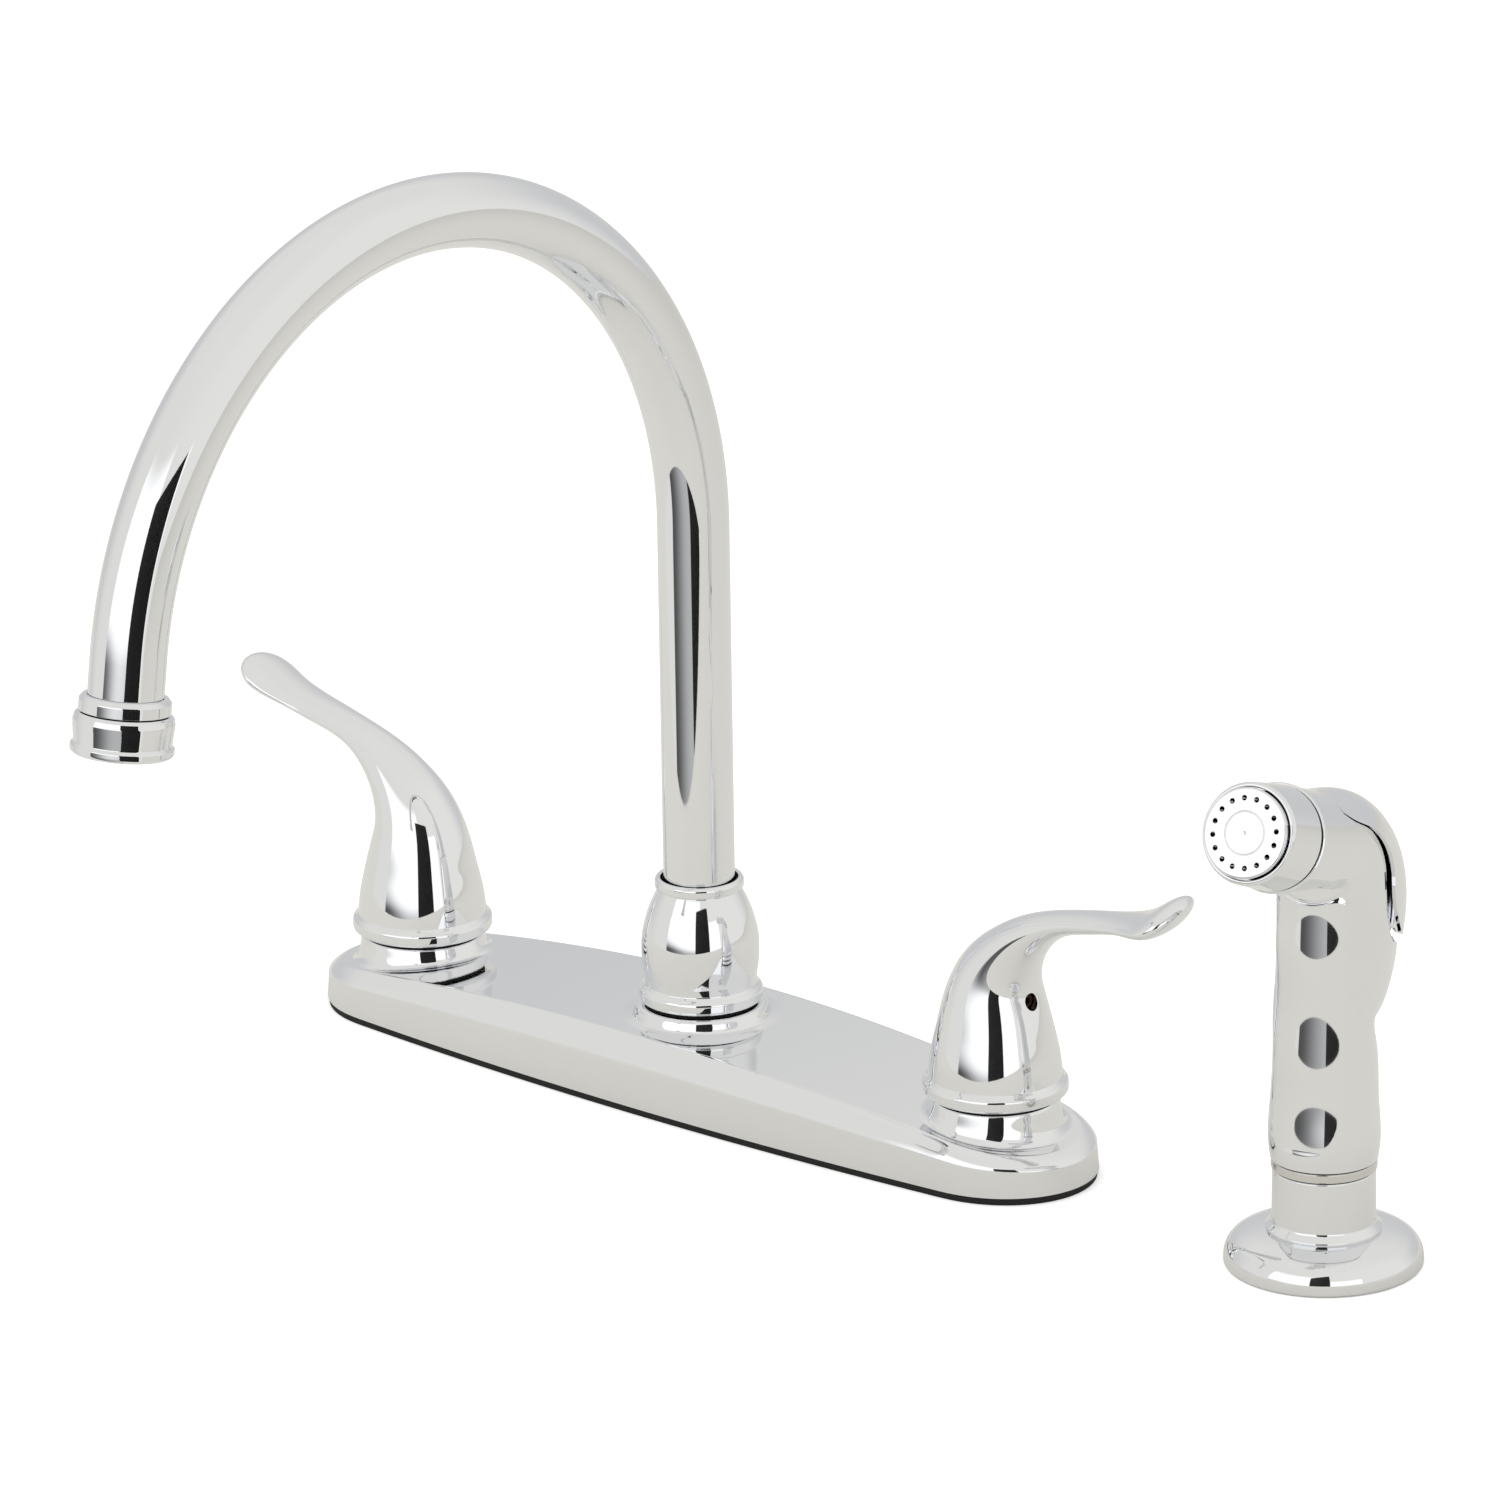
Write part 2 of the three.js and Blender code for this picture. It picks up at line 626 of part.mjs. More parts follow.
// ---------- spout ----------
const outletEnd = (() => {
    const lean = rad(OUTLET_LEAN);
    return {
        y: -ARCH_R * (1 + Math.cos(lean)) - OUTLET_STRAIGHT * Math.sin(lean),
        z: ARCH_CENTRE_HEIGHT + ARCH_R * Math.sin(lean) - OUTLET_STRAIGHT * Math.cos(lean),
    };
})();
const glideTop = POST_TOP + GAP + 1;
const footFlangeTop = glideTop + GAP + FOOT_FLANGE_THICK;
const tubeFoot = footFlangeTop;
const plugR = SPOUT_R - SPOUT_WALL - GAP;
const footGrooves = [POST_BORE_FLOOR + 3.3, POST_BORE_FLOOR + 8.8];
const sealR = SPOUT_R - O_RING_R - 0.1;

// Straight up, over the arch and a little way down to the outlet, `extra` longer at both ends
class ArchCurve extends THREE.Curve {
    constructor(extra) {
        super();
        this.extra = extra;
    }

    getPoint(t) {
        const sweep = Math.PI - rad(OUTLET_LEAN);
        const step = t * (ARCH_STEPS + 2);
        if (step <= 1) {
            const low = tubeFoot - this.extra;
            return V(0, 0, low + step * (ARCH_CENTRE_HEIGHT - low));
        }
        const angle = Math.min((step - 1) / ARCH_STEPS, 1) * sweep;
        const past = Math.max(0, step - 1 - ARCH_STEPS) * (OUTLET_STRAIGHT + this.extra);
        return V(
            0,
            -ARCH_R + ARCH_R * Math.cos(angle) - past * Math.sin(rad(OUTLET_LEAN)),
            ARCH_CENTRE_HEIGHT + ARCH_R * Math.sin(angle) - past * Math.cos(rad(OUTLET_LEAN)),
        );
    }

    // One step for each straight and the rest round the arch, not evenly by length
    getUtoTmapping(u) {
        return u;
    }
}

function spoutTube() {
    const steps = ARCH_STEPS + 2;
    return cut(
        along(new ArchCurve(0), SPOUT_R, FINE, steps),
        along(new ArchCurve(1), SPOUT_R - SPOUT_WALL, FINE / 2, steps),
        disc(SPOUT_R - SPOUT_WALL, tubeFoot - 1, tubeFoot + FOOT_PLUG_LENGTH + 2, FINE),
    );
}

// Brass plug in the tube's end, with the flange that the hub holds down
function spoutFoot() {
    const low = POST_BORE_FLOOR + GAP;
    const corners = [[plugR - 1.8, low], [SPOUT_R, low]];
    footGrooves.forEach((z) => {
        const half = O_RING_R + 0.1;
        const floorR = sealR - O_RING_R - GAP;
        corners.push([SPOUT_R, z - half], [floorR, z - half], [floorR, z + half], [SPOUT_R, z + half]);
    });
    corners.push(
        [SPOUT_R, glideTop + GAP],
        [FOOT_FLANGE_R, glideTop + GAP],
        [FOOT_FLANGE_R, footFlangeTop - GAP],
        [plugR, footFlangeTop - GAP],
        [plugR, footFlangeTop + FOOT_PLUG_LENGTH],
        [plugR - 1.8, footFlangeTop + FOOT_PLUG_LENGTH],
    );
    return turned(corners);
}

// Ring on the outlet's end, in the outlet's own frame: 0 is its top, down is -Z
function spoutCollar() {
    return turned([
        [SPOUT_R + GAP, 0],
        [COLLAR_R - 1, 0],
        [COLLAR_R, -0.7],
        [COLLAR_R, -COLLAR_LENGTH],
        [SPOUT_R - SPOUT_WALL, -COLLAR_LENGTH],
        [SPOUT_R - SPOUT_WALL, -GAP],
        [SPOUT_R + GAP, -GAP],
    ], FINE);
}

function aeratorShell() {
    const top = -COLLAR_LENGTH - GAP;
    const bottom = -COLLAR_LENGTH - AERATOR_LENGTH;
    return turned([
        [AERATOR_BORE_R, top],
        [COLLAR_R, top],
        [COLLAR_R + 0.8, top - 0.6],
        [AERATOR_R, top - 1.9],
        [AERATOR_R - 0.1, top - 3.5],
        [AERATOR_R - 0.5, bottom + AERATOR_LIP + 0.3],
        [AERATOR_LIP_R - 0.2, bottom + AERATOR_LIP],
        [AERATOR_LIP_R, bottom + 0.5 * AERATOR_LIP],
        [AERATOR_LIP_R - 0.9, bottom],
        [AERATOR_BORE_R - 1, bottom],
        [AERATOR_BORE_R - 1, bottom + 1.4],
        [AERATOR_BORE_R, bottom + 1.4],
    ], FINE);
}

function aeratorScreen() {
    const floor = -COLLAR_LENGTH - AERATOR_LENGTH + 1.4 + GAP;
    const holes = SCREEN_RINGS.flatMap(([count, r]) => Array.from({ length: count }, (_, i) => {
        const angle = (2 * Math.PI * i) / count;
        return shift(
            disc(SCREEN_HOLE_R, floor - 1, floor + 5, 6), r * Math.cos(angle), r * Math.sin(angle), 0);
    }));
    return cut(disc(AERATOR_BORE_R - GAP, floor, floor + 3), ...holes);
}

function aeratorWasher() {
    const floor = -COLLAR_LENGTH - AERATOR_LENGTH + 1.4 + GAP + 3 + GAP;
    return ring(6, AERATOR_BORE_R - GAP, floor, -COLLAR_LENGTH - 2 * GAP, FEW);
}

function spoutPost() {
    const body = turned([
        [0, 0.4],
        [POST_BASE_R, 0.4],
        [POST_BASE_R, PLATE_TOP - PLATE_WALL - 3],
        [POST_R, PLATE_TOP - PLATE_WALL - 2],
        [POST_R, POST_TOP],
        [0, POST_TOP],
    ]);
    const socket = (angle) => shift(
        turn(disc(socketR, 0, POST_BASE_R + 5), 0, angle, 0), 0, 0, CROSSOVER_HEIGHT);
    const socketBore = (side) => shift(
        turn(disc(CROSSOVER_R + GAP, 0, SOCKET_REACH), 0, 90 * side, 0),
        side * (POST_BASE_R + 1 - GAP), 0, CROSSOVER_HEIGHT);
    const port = (side) => shift(
        turn(disc(CROSSOVER_BORE_R, 0, POST_BASE_R + 4, SMALL), 0, 90 * side, 0), 0, 0, CROSSOVER_HEIGHT);
    return cut(
        join(body, socket(90), socket(-90)),
        disc(SPOUT_R + GAP, POST_BORE_FLOOR, POST_TOP + 1),
        disc(DIVERTER_R + 1, 2.4, POST_BORE_FLOOR + 1),
        disc(NIPPLE_R - 1.5, -1, 4),
        ...[-1, 1].flatMap((side) => [socketBore(side), port(side)]),
    );
}

// Ovoid nut that screws on the post and holds the spout down
function spoutHub() {
    const foot = POST_COLLAR_TOP + GAP;
    const mouthR = SPOUT_R + HUB_LIP_GAP;
    return turned([
        [POST_R + GAP, foot],
        [HUB_BEAD_R - 0.8, foot],
        [HUB_BEAD_R, foot + 1.2],
        [HUB_BEAD_R, foot + 3],
        [HUB_BEAD_R - 1.4, foot + 4.4],
        [HUB_BELLY_R - 0.8, foot + 6.4],
        [HUB_BELLY_R - 0.2, foot + 10.6],
        [HUB_BELLY_R, foot + 15],
        [HUB_BELLY_R - 0.2, foot + 18.6],
        [HUB_BELLY_R - 0.95, foot + 22.1],
        [HUB_BELLY_R - 2, foot + 25.6],
        [HUB_BELLY_R - 3.25, foot + 28.6],
        [HUB_RING_R - 0.5, HUB_TOP - 3.6],
        [HUB_RING_R, HUB_TOP - 2.6],
        [HUB_RING_R, HUB_TOP - 1.2],
        [HUB_RING_R - 1, HUB_TOP],
        [mouthR, HUB_TOP - 0.3],
        [mouthR, BUSHING_TOP + GAP],
        [HUB_BELLY_R - 2 - HUB_WALL, BUSHING_TOP + GAP],
        [POST_R + GAP, footFlangeTop + GAP + 4],
    ], FINE);
}

const glideWasher = () => ring(SPOUT_R + GAP, POST_R - GAP, POST_TOP + GAP, glideTop, FINE);

function spoutBushing() {
    return turned([
        [SPOUT_R + GAP, footFlangeTop + GAP],
        [POST_R - GAP, footFlangeTop + GAP],
        [POST_R - GAP, footFlangeTop + 4],
        [HUB_BELLY_R - 2 - HUB_WALL - 2 * GAP, BUSHING_TOP],
        [SPOUT_R + GAP, BUSHING_TOP],
    ], FINE);
}

// ---------- diverter for the spray, inside the post ----------
const nippleTop = 2.6;
const diverterSeatFloor = POST_BORE_FLOOR - 1.9;

// Shuttle that rests on the nipple's end and rises to close the way to the spout
function diverterPiston() {
    const low = nippleTop + GAP;
    const high = diverterSeatFloor - GAP - DIVERTER_STROKE;
    return turned([
        [0, low - 8],
        [NIPPLE_BORE_R - 1.2, low - 8],
        [NIPPLE_BORE_R - 1.2, low],
        [DIVERTER_R, low],
        [DIVERTER_R, low + 3],
        [2.4, high],
        [0, high],
    ]);
}

const diverterSeat = () => ring(
    3.4, DIVERTER_R + 1 - GAP, diverterSeatFloor, POST_BORE_FLOOR - 0.1, FEW);

function spring(r, low, high, turns) {
    class Helix extends THREE.Curve {
        getPoint(t) {
            const angle = 2 * Math.PI * turns * t;
            return V(r * Math.cos(angle), r * Math.sin(angle), low + (high - low) * t);
        }
    }
    return along(new Helix(), SPRING_WIRE_R, 4, turns * 7);
}

function sprayNipple() {
    return turned([
        [NIPPLE_BORE_R, -NIPPLE_LENGTH],
        [NIPPLE_R - 0.8, -NIPPLE_LENGTH],
        [NIPPLE_R, -NIPPLE_LENGTH + 0.8],
        [NIPPLE_R, 0.1],
        [NIPPLE_R - 1.8, 0.1],
        [NIPPLE_R - 1.8, nippleTop],
        [NIPPLE_BORE_R, nippleTop],
    ]);
}

// ---------- fasteners under the sink ----------
const deckWasher = (bore, r) => ring(
    bore + 3 * GAP, r, -SINK_DECK - WASHER_THICK, -SINK_DECK, FEW);

function wingNut(bore, r) {
    const top = -SINK_DECK - WASHER_THICK - GAP;
    const low = top - NUT_THICK;
    const wings = block([-r - NUT_WING, -2, low - 4], [r + NUT_WING, 2, top - 2.5]);
    return cut(join(disc(r, low, top), wings), disc(bore + 2 * GAP, low - 6, top + 1));
}

// ---------- spray holder ----------
function sprayHolder() {
    const [r, dome] = [HOLDER_FLANGE_R, HOLDER_DOME_HEIGHT];
    return turned([
        [HOLDER_BORE_R, -HOLDER_LENGTH],
        [HOLDER_THREAD_R, -HOLDER_LENGTH],
        [HOLDER_THREAD_R, 0],
        [r - 0.7, 0],
        [r, 0.17 * dome],
        [r - 0.4, 0.34 * dome],
        [r - 1.3, 0.54 * dome],
        [r - 2.5, 0.74 * dome],
        [r - 5.4, 0.88 * dome],
        [r - 9, 0.96 * dome],
        [HOLDER_COLLAR_R + 1.5, dome],
        [HOLDER_COLLAR_R + 1.8, dome + 0.7],
        [HOLDER_COLLAR_R, dome + 2.1],
        [HOLDER_COLLAR_R, HOLDER_TOP],
        [HOLDER_BORE_R, HOLDER_TOP],
    ], FINE);
}

const couplingTop = HOLDER_TOP + GAP + COUPLING_RIM;

// Swivel coupling of the spray hose: a rim under the grip, a tail in the holder's bore and
// a spigot that the spray turns on
function sprayCoupling() {
    const rim = HOLDER_TOP + GAP;
    return turned([
        [HOSE_BORE_R, rim - COUPLING_TAIL],
        [COUPLING_TAIL_END_R, rim - COUPLING_TAIL],
        [COUPLING_TAIL_R, rim - 6],
        [COUPLING_TAIL_R, rim],
        [COUPLING_R - 0.3, rim],
        [COUPLING_R, rim + 0.4],
        [COUPLING_R, couplingTop],
        [COUPLING_SPIGOT_R, couplingTop],
        [COUPLING_SPIGOT_R, couplingTop + COUPLING_SPIGOT - 4],
        [COUPLING_SPIGOT_R - 1.2, couplingTop + COUPLING_SPIGOT - 4],
        [COUPLING_SPIGOT_R - 1.2, couplingTop + COUPLING_SPIGOT],
        [HOSE_BORE_R, couplingTop + COUPLING_SPIGOT],
    ]);
}

// ---------- spray, in its own frame: forward is +X ----------
const bezelLedge = NECK_LENGTH + 1.6;
const nozzleAxis = (piece) => shift(
    turn(piece, 0, 90 - NOZZLE_TILT, 0), NOZZLE_REACH, 0, NOZZLE_HEIGHT);
const plungerHeight = NOZZLE_HEIGHT - PLUNGER_DROP;
const plungerAxis = (piece) => shift(turn(piece, 0, -90, 0), 0, 0, plungerHeight);
const atNozzle = (points) => points.map(([u, z, ...rest]) => [u, NOZZLE_HEIGHT + z, ...rest]);
const jointSection = (proud) => [NOZZLE_REACH, NOZZLE_HEIGHT, NOZZLE_JOINT_R + proud, NOZZLE_JOINT_R + proud];
const spraySections = [...GRIP_SECTIONS, ...atNozzle(HEAD_SECTIONS), jointSection(0)];
const triggerSections = [...atNozzle(TRIGGER_SECTIONS), jointSection(TRIGGER_PROUD)];
const triggerOutline = atNozzle(TRIGGER_OUTLINE);
const [triggerPivot] = atNozzle([TRIGGER_PIVOT]);

// Outline in the spray's middle plane, drawn out to both sides
function slab(outline, halfWidth) {
    const shape = new THREE.Shape(outline.map(([u, z]) => new THREE.Vector2(u, z)));
    const plate = new THREE.ExtrudeGeometry(shape, { depth: 2 * halfWidth, bevelEnabled: false });
    return solid(plate.translate(0, 0, -halfWidth).rotateX(Math.PI / 2));
}

// The outline moved out by `gap`, corner by corner
function widened(outline, gap) {
    const points = outline.map(([u, z]) => new THREE.Vector2(u, z));
    return points.map((point, i) => {
        const before = points[(i + points.length - 1) % points.length];
        const after = points[(i + 1) % points.length];
        const along1 = point.clone().sub(before).normalize();
        const along2 = after.clone().sub(point).normalize();
        const out = along1.add(along2).normalize();
        return [point.x - gap * out.y, point.y + gap * out.x];
    });
}

const aboutPivot = (piece, angle) => shift(
    turn(shift(piece, -triggerPivot[0], 0, -triggerPivot[1]), 0, angle, 0),
    triggerPivot[0], 0, triggerPivot[1]);
const pivotBar = (r, halfWidth, sides) => shift(
    turn(disc(r, -halfWidth, halfWidth, sides), 90, 0, 0), triggerPivot[0], 0, triggerPivot[1]);

// Room that the trigger sweeps through, with the running clearance. What stays of the head
// there is the core that lies inside the trigger both at rest and pressed.
function triggerRoom() {
    const skin = lofted(triggerSections, { grow: [GAP, GAP] });
    const inside = lofted(triggerSections, { grow: TRIGGER_WALL.map((wall) => -wall - GAP) });
    const outer = skin.intersect(slab(widened(triggerOutline, 1.2 * GAP), 2 * NOZZLE_REACH));
    const poses = [...Array(TRIGGER_POSES).keys()].map((i) => i / (TRIGGER_POSES - 1));
    const swept = join(...poses.map((share) => aboutPivot(outer, -share * TRIGGER_TRAVEL)));
    return cut(swept, inside.intersect(aboutPivot(inside, -TRIGGER_TRAVEL)));
}

// Ring round the grip whose inner side waves in and out: what it takes off the grip's front
// leaves a hollow for each finger
function fingerWave() {
    const curve = new THREE.CatmullRomCurve3(spraySections.map(([u, z, a]) => V(u + a, z, 0)));
    const front = curve.getPoints(FRONT_POINTS);
    const reachAt = (height) => front.find((p) => p.y >= height).x;
    const [[top, swell]] = FINGER_HOLLOWS;
    const centre = reachAt(swell) - FINGER_HOLLOW_DEPTH - FINGER_HOLLOW_R;
    const wave = [[2 * top - swell, 0]];
    FINGER_HOLLOWS.forEach(([hollow, below]) => wave.push(
        [hollow, FINGER_HOLLOW_DEPTH], [(hollow + below) / 2, FINGER_HOLLOW_DEPTH / 2], [below, 0]));
    const inner = wave.map(([z, depth]) => [reachAt(z) - depth - centre, z]);
    const outer = 2 * FINGER_HOLLOW_R;
    return shift(
        turned([[outer, wave[0][0]], ...inner, [outer, wave.at(-1)[0]]], GROOVE_SIDES), centre, 0, 0);
}

function sprayBody() {
    const grip = lofted(spraySections);
    const neck = nozzleAxis(disc(NECK_R, -2, NECK_LENGTH, FINE));
    const [pivotBack, pivotHeight] = triggerPivot;
    const knuckleRoom = TRIGGER_KNUCKLE_WIDTH / 2 + GAP;
    const knuckleSlot = block(
        [pivotBack - 5, -knuckleRoom, pivotHeight - TRIGGER_KNUCKLE_R - GAP],
        [pivotBack + TRIGGER_KNUCKLE_R + GAP, knuckleRoom, pivotHeight + 20]);
    return cut(
        join(grip, neck),
        triggerRoom(),
        fingerWave(),
        disc(COUPLING_SPIGOT_R + GAP, HOLDER_TOP, couplingTop + COUPLING_SPIGOT + GAP, FINE),
        disc(HOSE_BORE_R, HOLDER_TOP, plungerHeight + NECK_WAY, SMALL),
        plungerAxis(disc(VALVE_BORE_R, VALVE_BORE_FLOOR, 2 * PLUNGER_HEAD)),
        plungerAxis(disc(GLAND_R, GLAND_BACK - GLAND_THICK - GAP, 2 * PLUNGER_HEAD)),
        nozzleAxis(disc(HOSE_BORE_R, -NOZZLE_REACH, NOZZLE_LENGTH, SMALL)),
        knuckleSlot,
        pivotBar(TRIGGER_PIN_R + GAP, 20, SMALL),
    );
}

// Curved thumb lever that lies over the spray's back and crown
function trigger() {
    const skin = lofted(triggerSections).intersect(slab(triggerOutline, 2 * NOZZLE_REACH));
    const inside = lofted(triggerSections, { grow: TRIGGER_WALL.map((wall) => -wall) });
    const half = TRIGGER_KNUCKLE_WIDTH / 2;
    const [pivotBack, pivotHeight] = triggerPivot;
    const web = block(
        [pivotBack - 2, -half, pivotHeight],
        [pivotBack + 1.6, half, pivotHeight + 5]);
    const knuckle = join(pivotBar(TRIGGER_KNUCKLE_R, half, 12), web).intersect(lofted(triggerSections));
    return cut(join(cut(skin, inside), knuckle), pivotBar(TRIGGER_PIN_R + GAP, 20, SMALL));
}

function sprayBezel() {
    return nozzleAxis(turned([
        [NECK_R + GAP, GAP],
        [NOZZLE_R - 0.4, GAP],
        [NOZZLE_R, GAP + 0.5],
        [NOZZLE_FRONT_R, NOZZLE_LENGTH - 1.2],
        [NOZZLE_FRONT_R - 0.5, NOZZLE_LENGTH - 0.2],
        [FACE_R + 0.7, NOZZLE_LENGTH],
        [FACE_R + GAP, NOZZLE_LENGTH - 0.4],
        [FACE_R + GAP, bezelLedge],
        [NECK_R + GAP, bezelLedge],
    ], FINE));
}

function sprayFace() {
    const front = NOZZLE_LENGTH + FACE_PROUD;
    const back = front - FACE_THICK;
    const holes = Array.from({ length: FACE_HOLES }, (_, i) => {
        const angle = (2 * Math.PI * i) / FACE_HOLES;
        return shift(
            disc(FACE_HOLE_R, back - 1, front + 1, 6),
            FACE_HOLE_RING_R * Math.cos(angle), FACE_HOLE_RING_R * Math.sin(angle), 0);
    });
    const skirt = ring(FACE_R - 1.6, FACE_R, bezelLedge + GAP, back + 0.5, FINE);
    const plate = turned([
        [0, back],
        [FACE_R, back],
        [FACE_R, front - 0.6],
        [FACE_R - 0.6, front],
        [0, front],
    ], FINE);
    return nozzleAxis(cut(join(plate, skirt), ...holes));
}

const sprayGasket = () => nozzleAxis(ring(
    HOSE_BORE_R + 1, NECK_R - 2 * GAP, NECK_LENGTH + GAP, bezelLedge - GAP, FEW));

const triggerPin = () => pivotBar(TRIGGER_PIN_R, TRIGGER_PIN_HALF, SMALL);

function valvePlunger() {
    return plungerAxis(turned([
        [0, PLUNGER_FOOT],
        [PLUNGER_SHOULDER_R, PLUNGER_FOOT],
        [PLUNGER_SHOULDER_R, PLUNGER_FOOT + PLUNGER_SHOULDER],
        [PLUNGER_R, PLUNGER_FOOT + PLUNGER_SHOULDER],
        [PLUNGER_R, PLUNGER_HEAD - GAP],
        [0, PLUNGER_HEAD - GAP],
    ], 10));
}

const plungerSeal = () => plungerAxis(ring(
    PLUNGER_R + GAP, PLUNGER_SHOULDER_R - 0.2,
    PLUNGER_FOOT + PLUNGER_SHOULDER + GAP, PLUNGER_FOOT + PLUNGER_SHOULDER + 2, FEW));

// Seated on the plunger, with the room of its stroke left at the bore's floor
const plungerSpring = () => plungerAxis(spring(
    SPRING_R,
    VALVE_BORE_FLOOR + PLUNGER_STROKE + GAP + SPRING_WIRE_R,
    PLUNGER_FOOT - GAP - SPRING_WIRE_R,
    SPRING_TURNS));

const valveGland = () => plungerAxis(ring(
    PLUNGER_R + GAP, GLAND_R - GAP, GLAND_BACK - GLAND_THICK, GLAND_BACK, FEW));

// ---------- finishes ----------
const finish = (color, metalness, roughness) => new THREE.MeshStandardMaterial(
    { color, metalness, roughness });
const chrome = () => finish(0xdfe1e2, 1, 0.06);
const satinChrome = () => finish(0xc9c8c4, 1, 0.22);
const brass = () => finish(0xb5924c, 1, 0.35);
const blackRubber = () => finish(0x17181a, 0, 0.8);
const whiteNylon = () => finish(0xe9e8e2, 0, 0.45);
const ceramic = () => finish(0xf1efe8, 0, 0.25);
const blackSteel = () => finish(0x3a2c22, 0.8, 0.5);
const zinc = () => finish(0xb9bcbe, 1, 0.4);
const steel = () => finish(0xb4b6b8, 1, 0.3);

// ---------- assembly ----------
const faucet = new THREE.Group();

function place(group, name, piece, material) {
    const mesh = new THREE.Mesh(toGeometry(piece), material);
    mesh.name = name;
    group.add(mesh);
}

place(faucet, 'deck_plate', deckPlate(), chrome());
place(faucet, 'deck_gasket', deckGasket(), blackRubber());

// The hot valve is the cold one turned half round, so that both sockets face the post
for (const [side, x, facing] of [['hot', -HOLE_PITCH, Math.PI], ['cold', HOLE_PITCH, 0]]) {
    const valve = new THREE.Group();
    valve.position.x = x;
    valve.rotation.z = facing;
    place(valve, `${side}_valve_body`, valveBody(), brass());
    place(valve, `${side}_cartridge_shell`, cartridgeShell(), brass());
    place(valve, `${side}_seat_seal`, seatSeal(), blackRubber());
    place(valve, `${side}_fixed_disc`, portedDisc(fixedDiscFloor, 90), ceramic());
    place(valve, `${side}_bonnet_nut`, bonnetNut(), brass());
    place(valve, `${side}_deck_washer`, deckWasher(SHANK_R, WASHER_R), steel());
    place(valve, `${side}_locknut`, wingNut(SHANK_R, NUT_R), brass());
    const moving = new THREE.Group();
    moving.rotation.z = rad(HANDLE_TURN);
    place(moving, `${side}_moving_disc`, portedDisc(movingDiscFloor, 0), ceramic());
    place(moving, `${side}_stem`, valveStem(), brass());
    place(moving, `${side}_handle`, handle(), chrome());
    place(moving, `${side}_set_screw`, setScrew(), blackSteel());
    valve.add(moving);
    faucet.add(valve);

    const crossover = new THREE.Group();
    crossover.rotation.z = facing;
    place(crossover, `${side}_crossover_tube`, crossoverTube(), brass());
    faucet.add(crossover);
}

place(faucet, 'spout_post', spoutPost(), brass());
place(faucet, 'spout_hub', spoutHub(), chrome());
place(faucet, 'glide_washer', glideWasher(), whiteNylon());
place(faucet, 'spout_bushing', spoutBushing(), whiteNylon());
place(faucet, 'diverter_seat', diverterSeat(), brass());
place(faucet, 'diverter_piston', diverterPiston(), whiteNylon());
place(faucet, 'spray_nipple', sprayNipple(), brass());

place(faucet, 'spout_tube', spoutTube(), chrome());
place(faucet, 'spout_foot', spoutFoot(), brass());
footGrooves.forEach((z, i) => {
    place(faucet, `spout_seal_${i + 1}`, oRing(sealR, z, O_RING_R), blackRubber());
});

const outlet = new THREE.Group();
outlet.position.set(0, outletEnd.y, outletEnd.z);
outlet.rotation.x = -rad(OUTLET_LEAN);
place(outlet, 'spout_collar', spoutCollar(), chrome());
place(outlet, 'aerator_shell', aeratorShell(), chrome());
place(outlet, 'aerator_screen', aeratorScreen(), whiteNylon());
place(outlet, 'aerator_washer', aeratorWasher(), blackRubber());
faucet.add(outlet);

const sprayStation = new THREE.Group();
sprayStation.position.set(SPRAY_X, SPRAY_Y, 0);
place(sprayStation, 'spray_holder', sprayHolder(), chrome());
place(sprayStation, 'spray_holder_washer', deckWasher(HOLDER_THREAD_R, WASHER_R), steel());
place(sprayStation, 'spray_holder_nut', wingNut(HOLDER_THREAD_R, HOLDER_NUT_R), zinc());
place(sprayStation, 'spray_coupling', sprayCoupling(), satinChrome());
place(sprayStation, 'coupling_seal', oRing(
    COUPLING_SPIGOT_R - 0.45, couplingTop + COUPLING_SPIGOT - 2.6, 0.45), blackRubber());
faucet.add(sprayStation);

const spray = new THREE.Group();
spray.rotation.z = rad(SPRAY_TURN - 90);
place(spray, 'spray_body', sprayBody(), chrome());
place(spray, 'spray_bezel', sprayBezel(), chrome());
place(spray, 'spray_face', sprayFace(), chrome());
place(spray, 'spray_gasket', sprayGasket(), blackRubber());
place(spray, 'trigger', trigger(), chrome());
place(spray, 'trigger_pin', triggerPin(), steel());
place(spray, 'valve_plunger', valvePlunger(), steel());
place(spray, 'plunger_seal', plungerSeal(), blackRubber());
place(spray, 'plunger_spring', plungerSpring(), steel());
place(spray, 'valve_gland', valveGland(), whiteNylon());
sprayStation.add(spray);

export default faucet;
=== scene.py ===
"""Kitchen faucet with a gooseneck spout, two lever handles and a side spray, in polished chrome."""

import json
import math

import bmesh
import bpy
import numpy as np
from mathutils import Matrix, Vector


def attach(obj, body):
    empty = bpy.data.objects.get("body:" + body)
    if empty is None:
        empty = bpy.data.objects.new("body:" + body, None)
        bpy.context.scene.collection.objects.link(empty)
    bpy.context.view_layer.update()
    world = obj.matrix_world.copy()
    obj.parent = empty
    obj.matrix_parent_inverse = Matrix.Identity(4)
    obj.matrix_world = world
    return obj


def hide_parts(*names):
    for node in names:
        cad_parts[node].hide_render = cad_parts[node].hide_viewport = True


bl_info = {
    "name": "Side Spray Kitchen Faucet",
    "version": (1, 0, 0),
    "blender": (4, 5, 0),
    "location": "View3D > Sidebar > Faucet",
    "description": "Builds the finished surfaces of a deck-mounted kitchen faucet",
    "category": "Object",
}

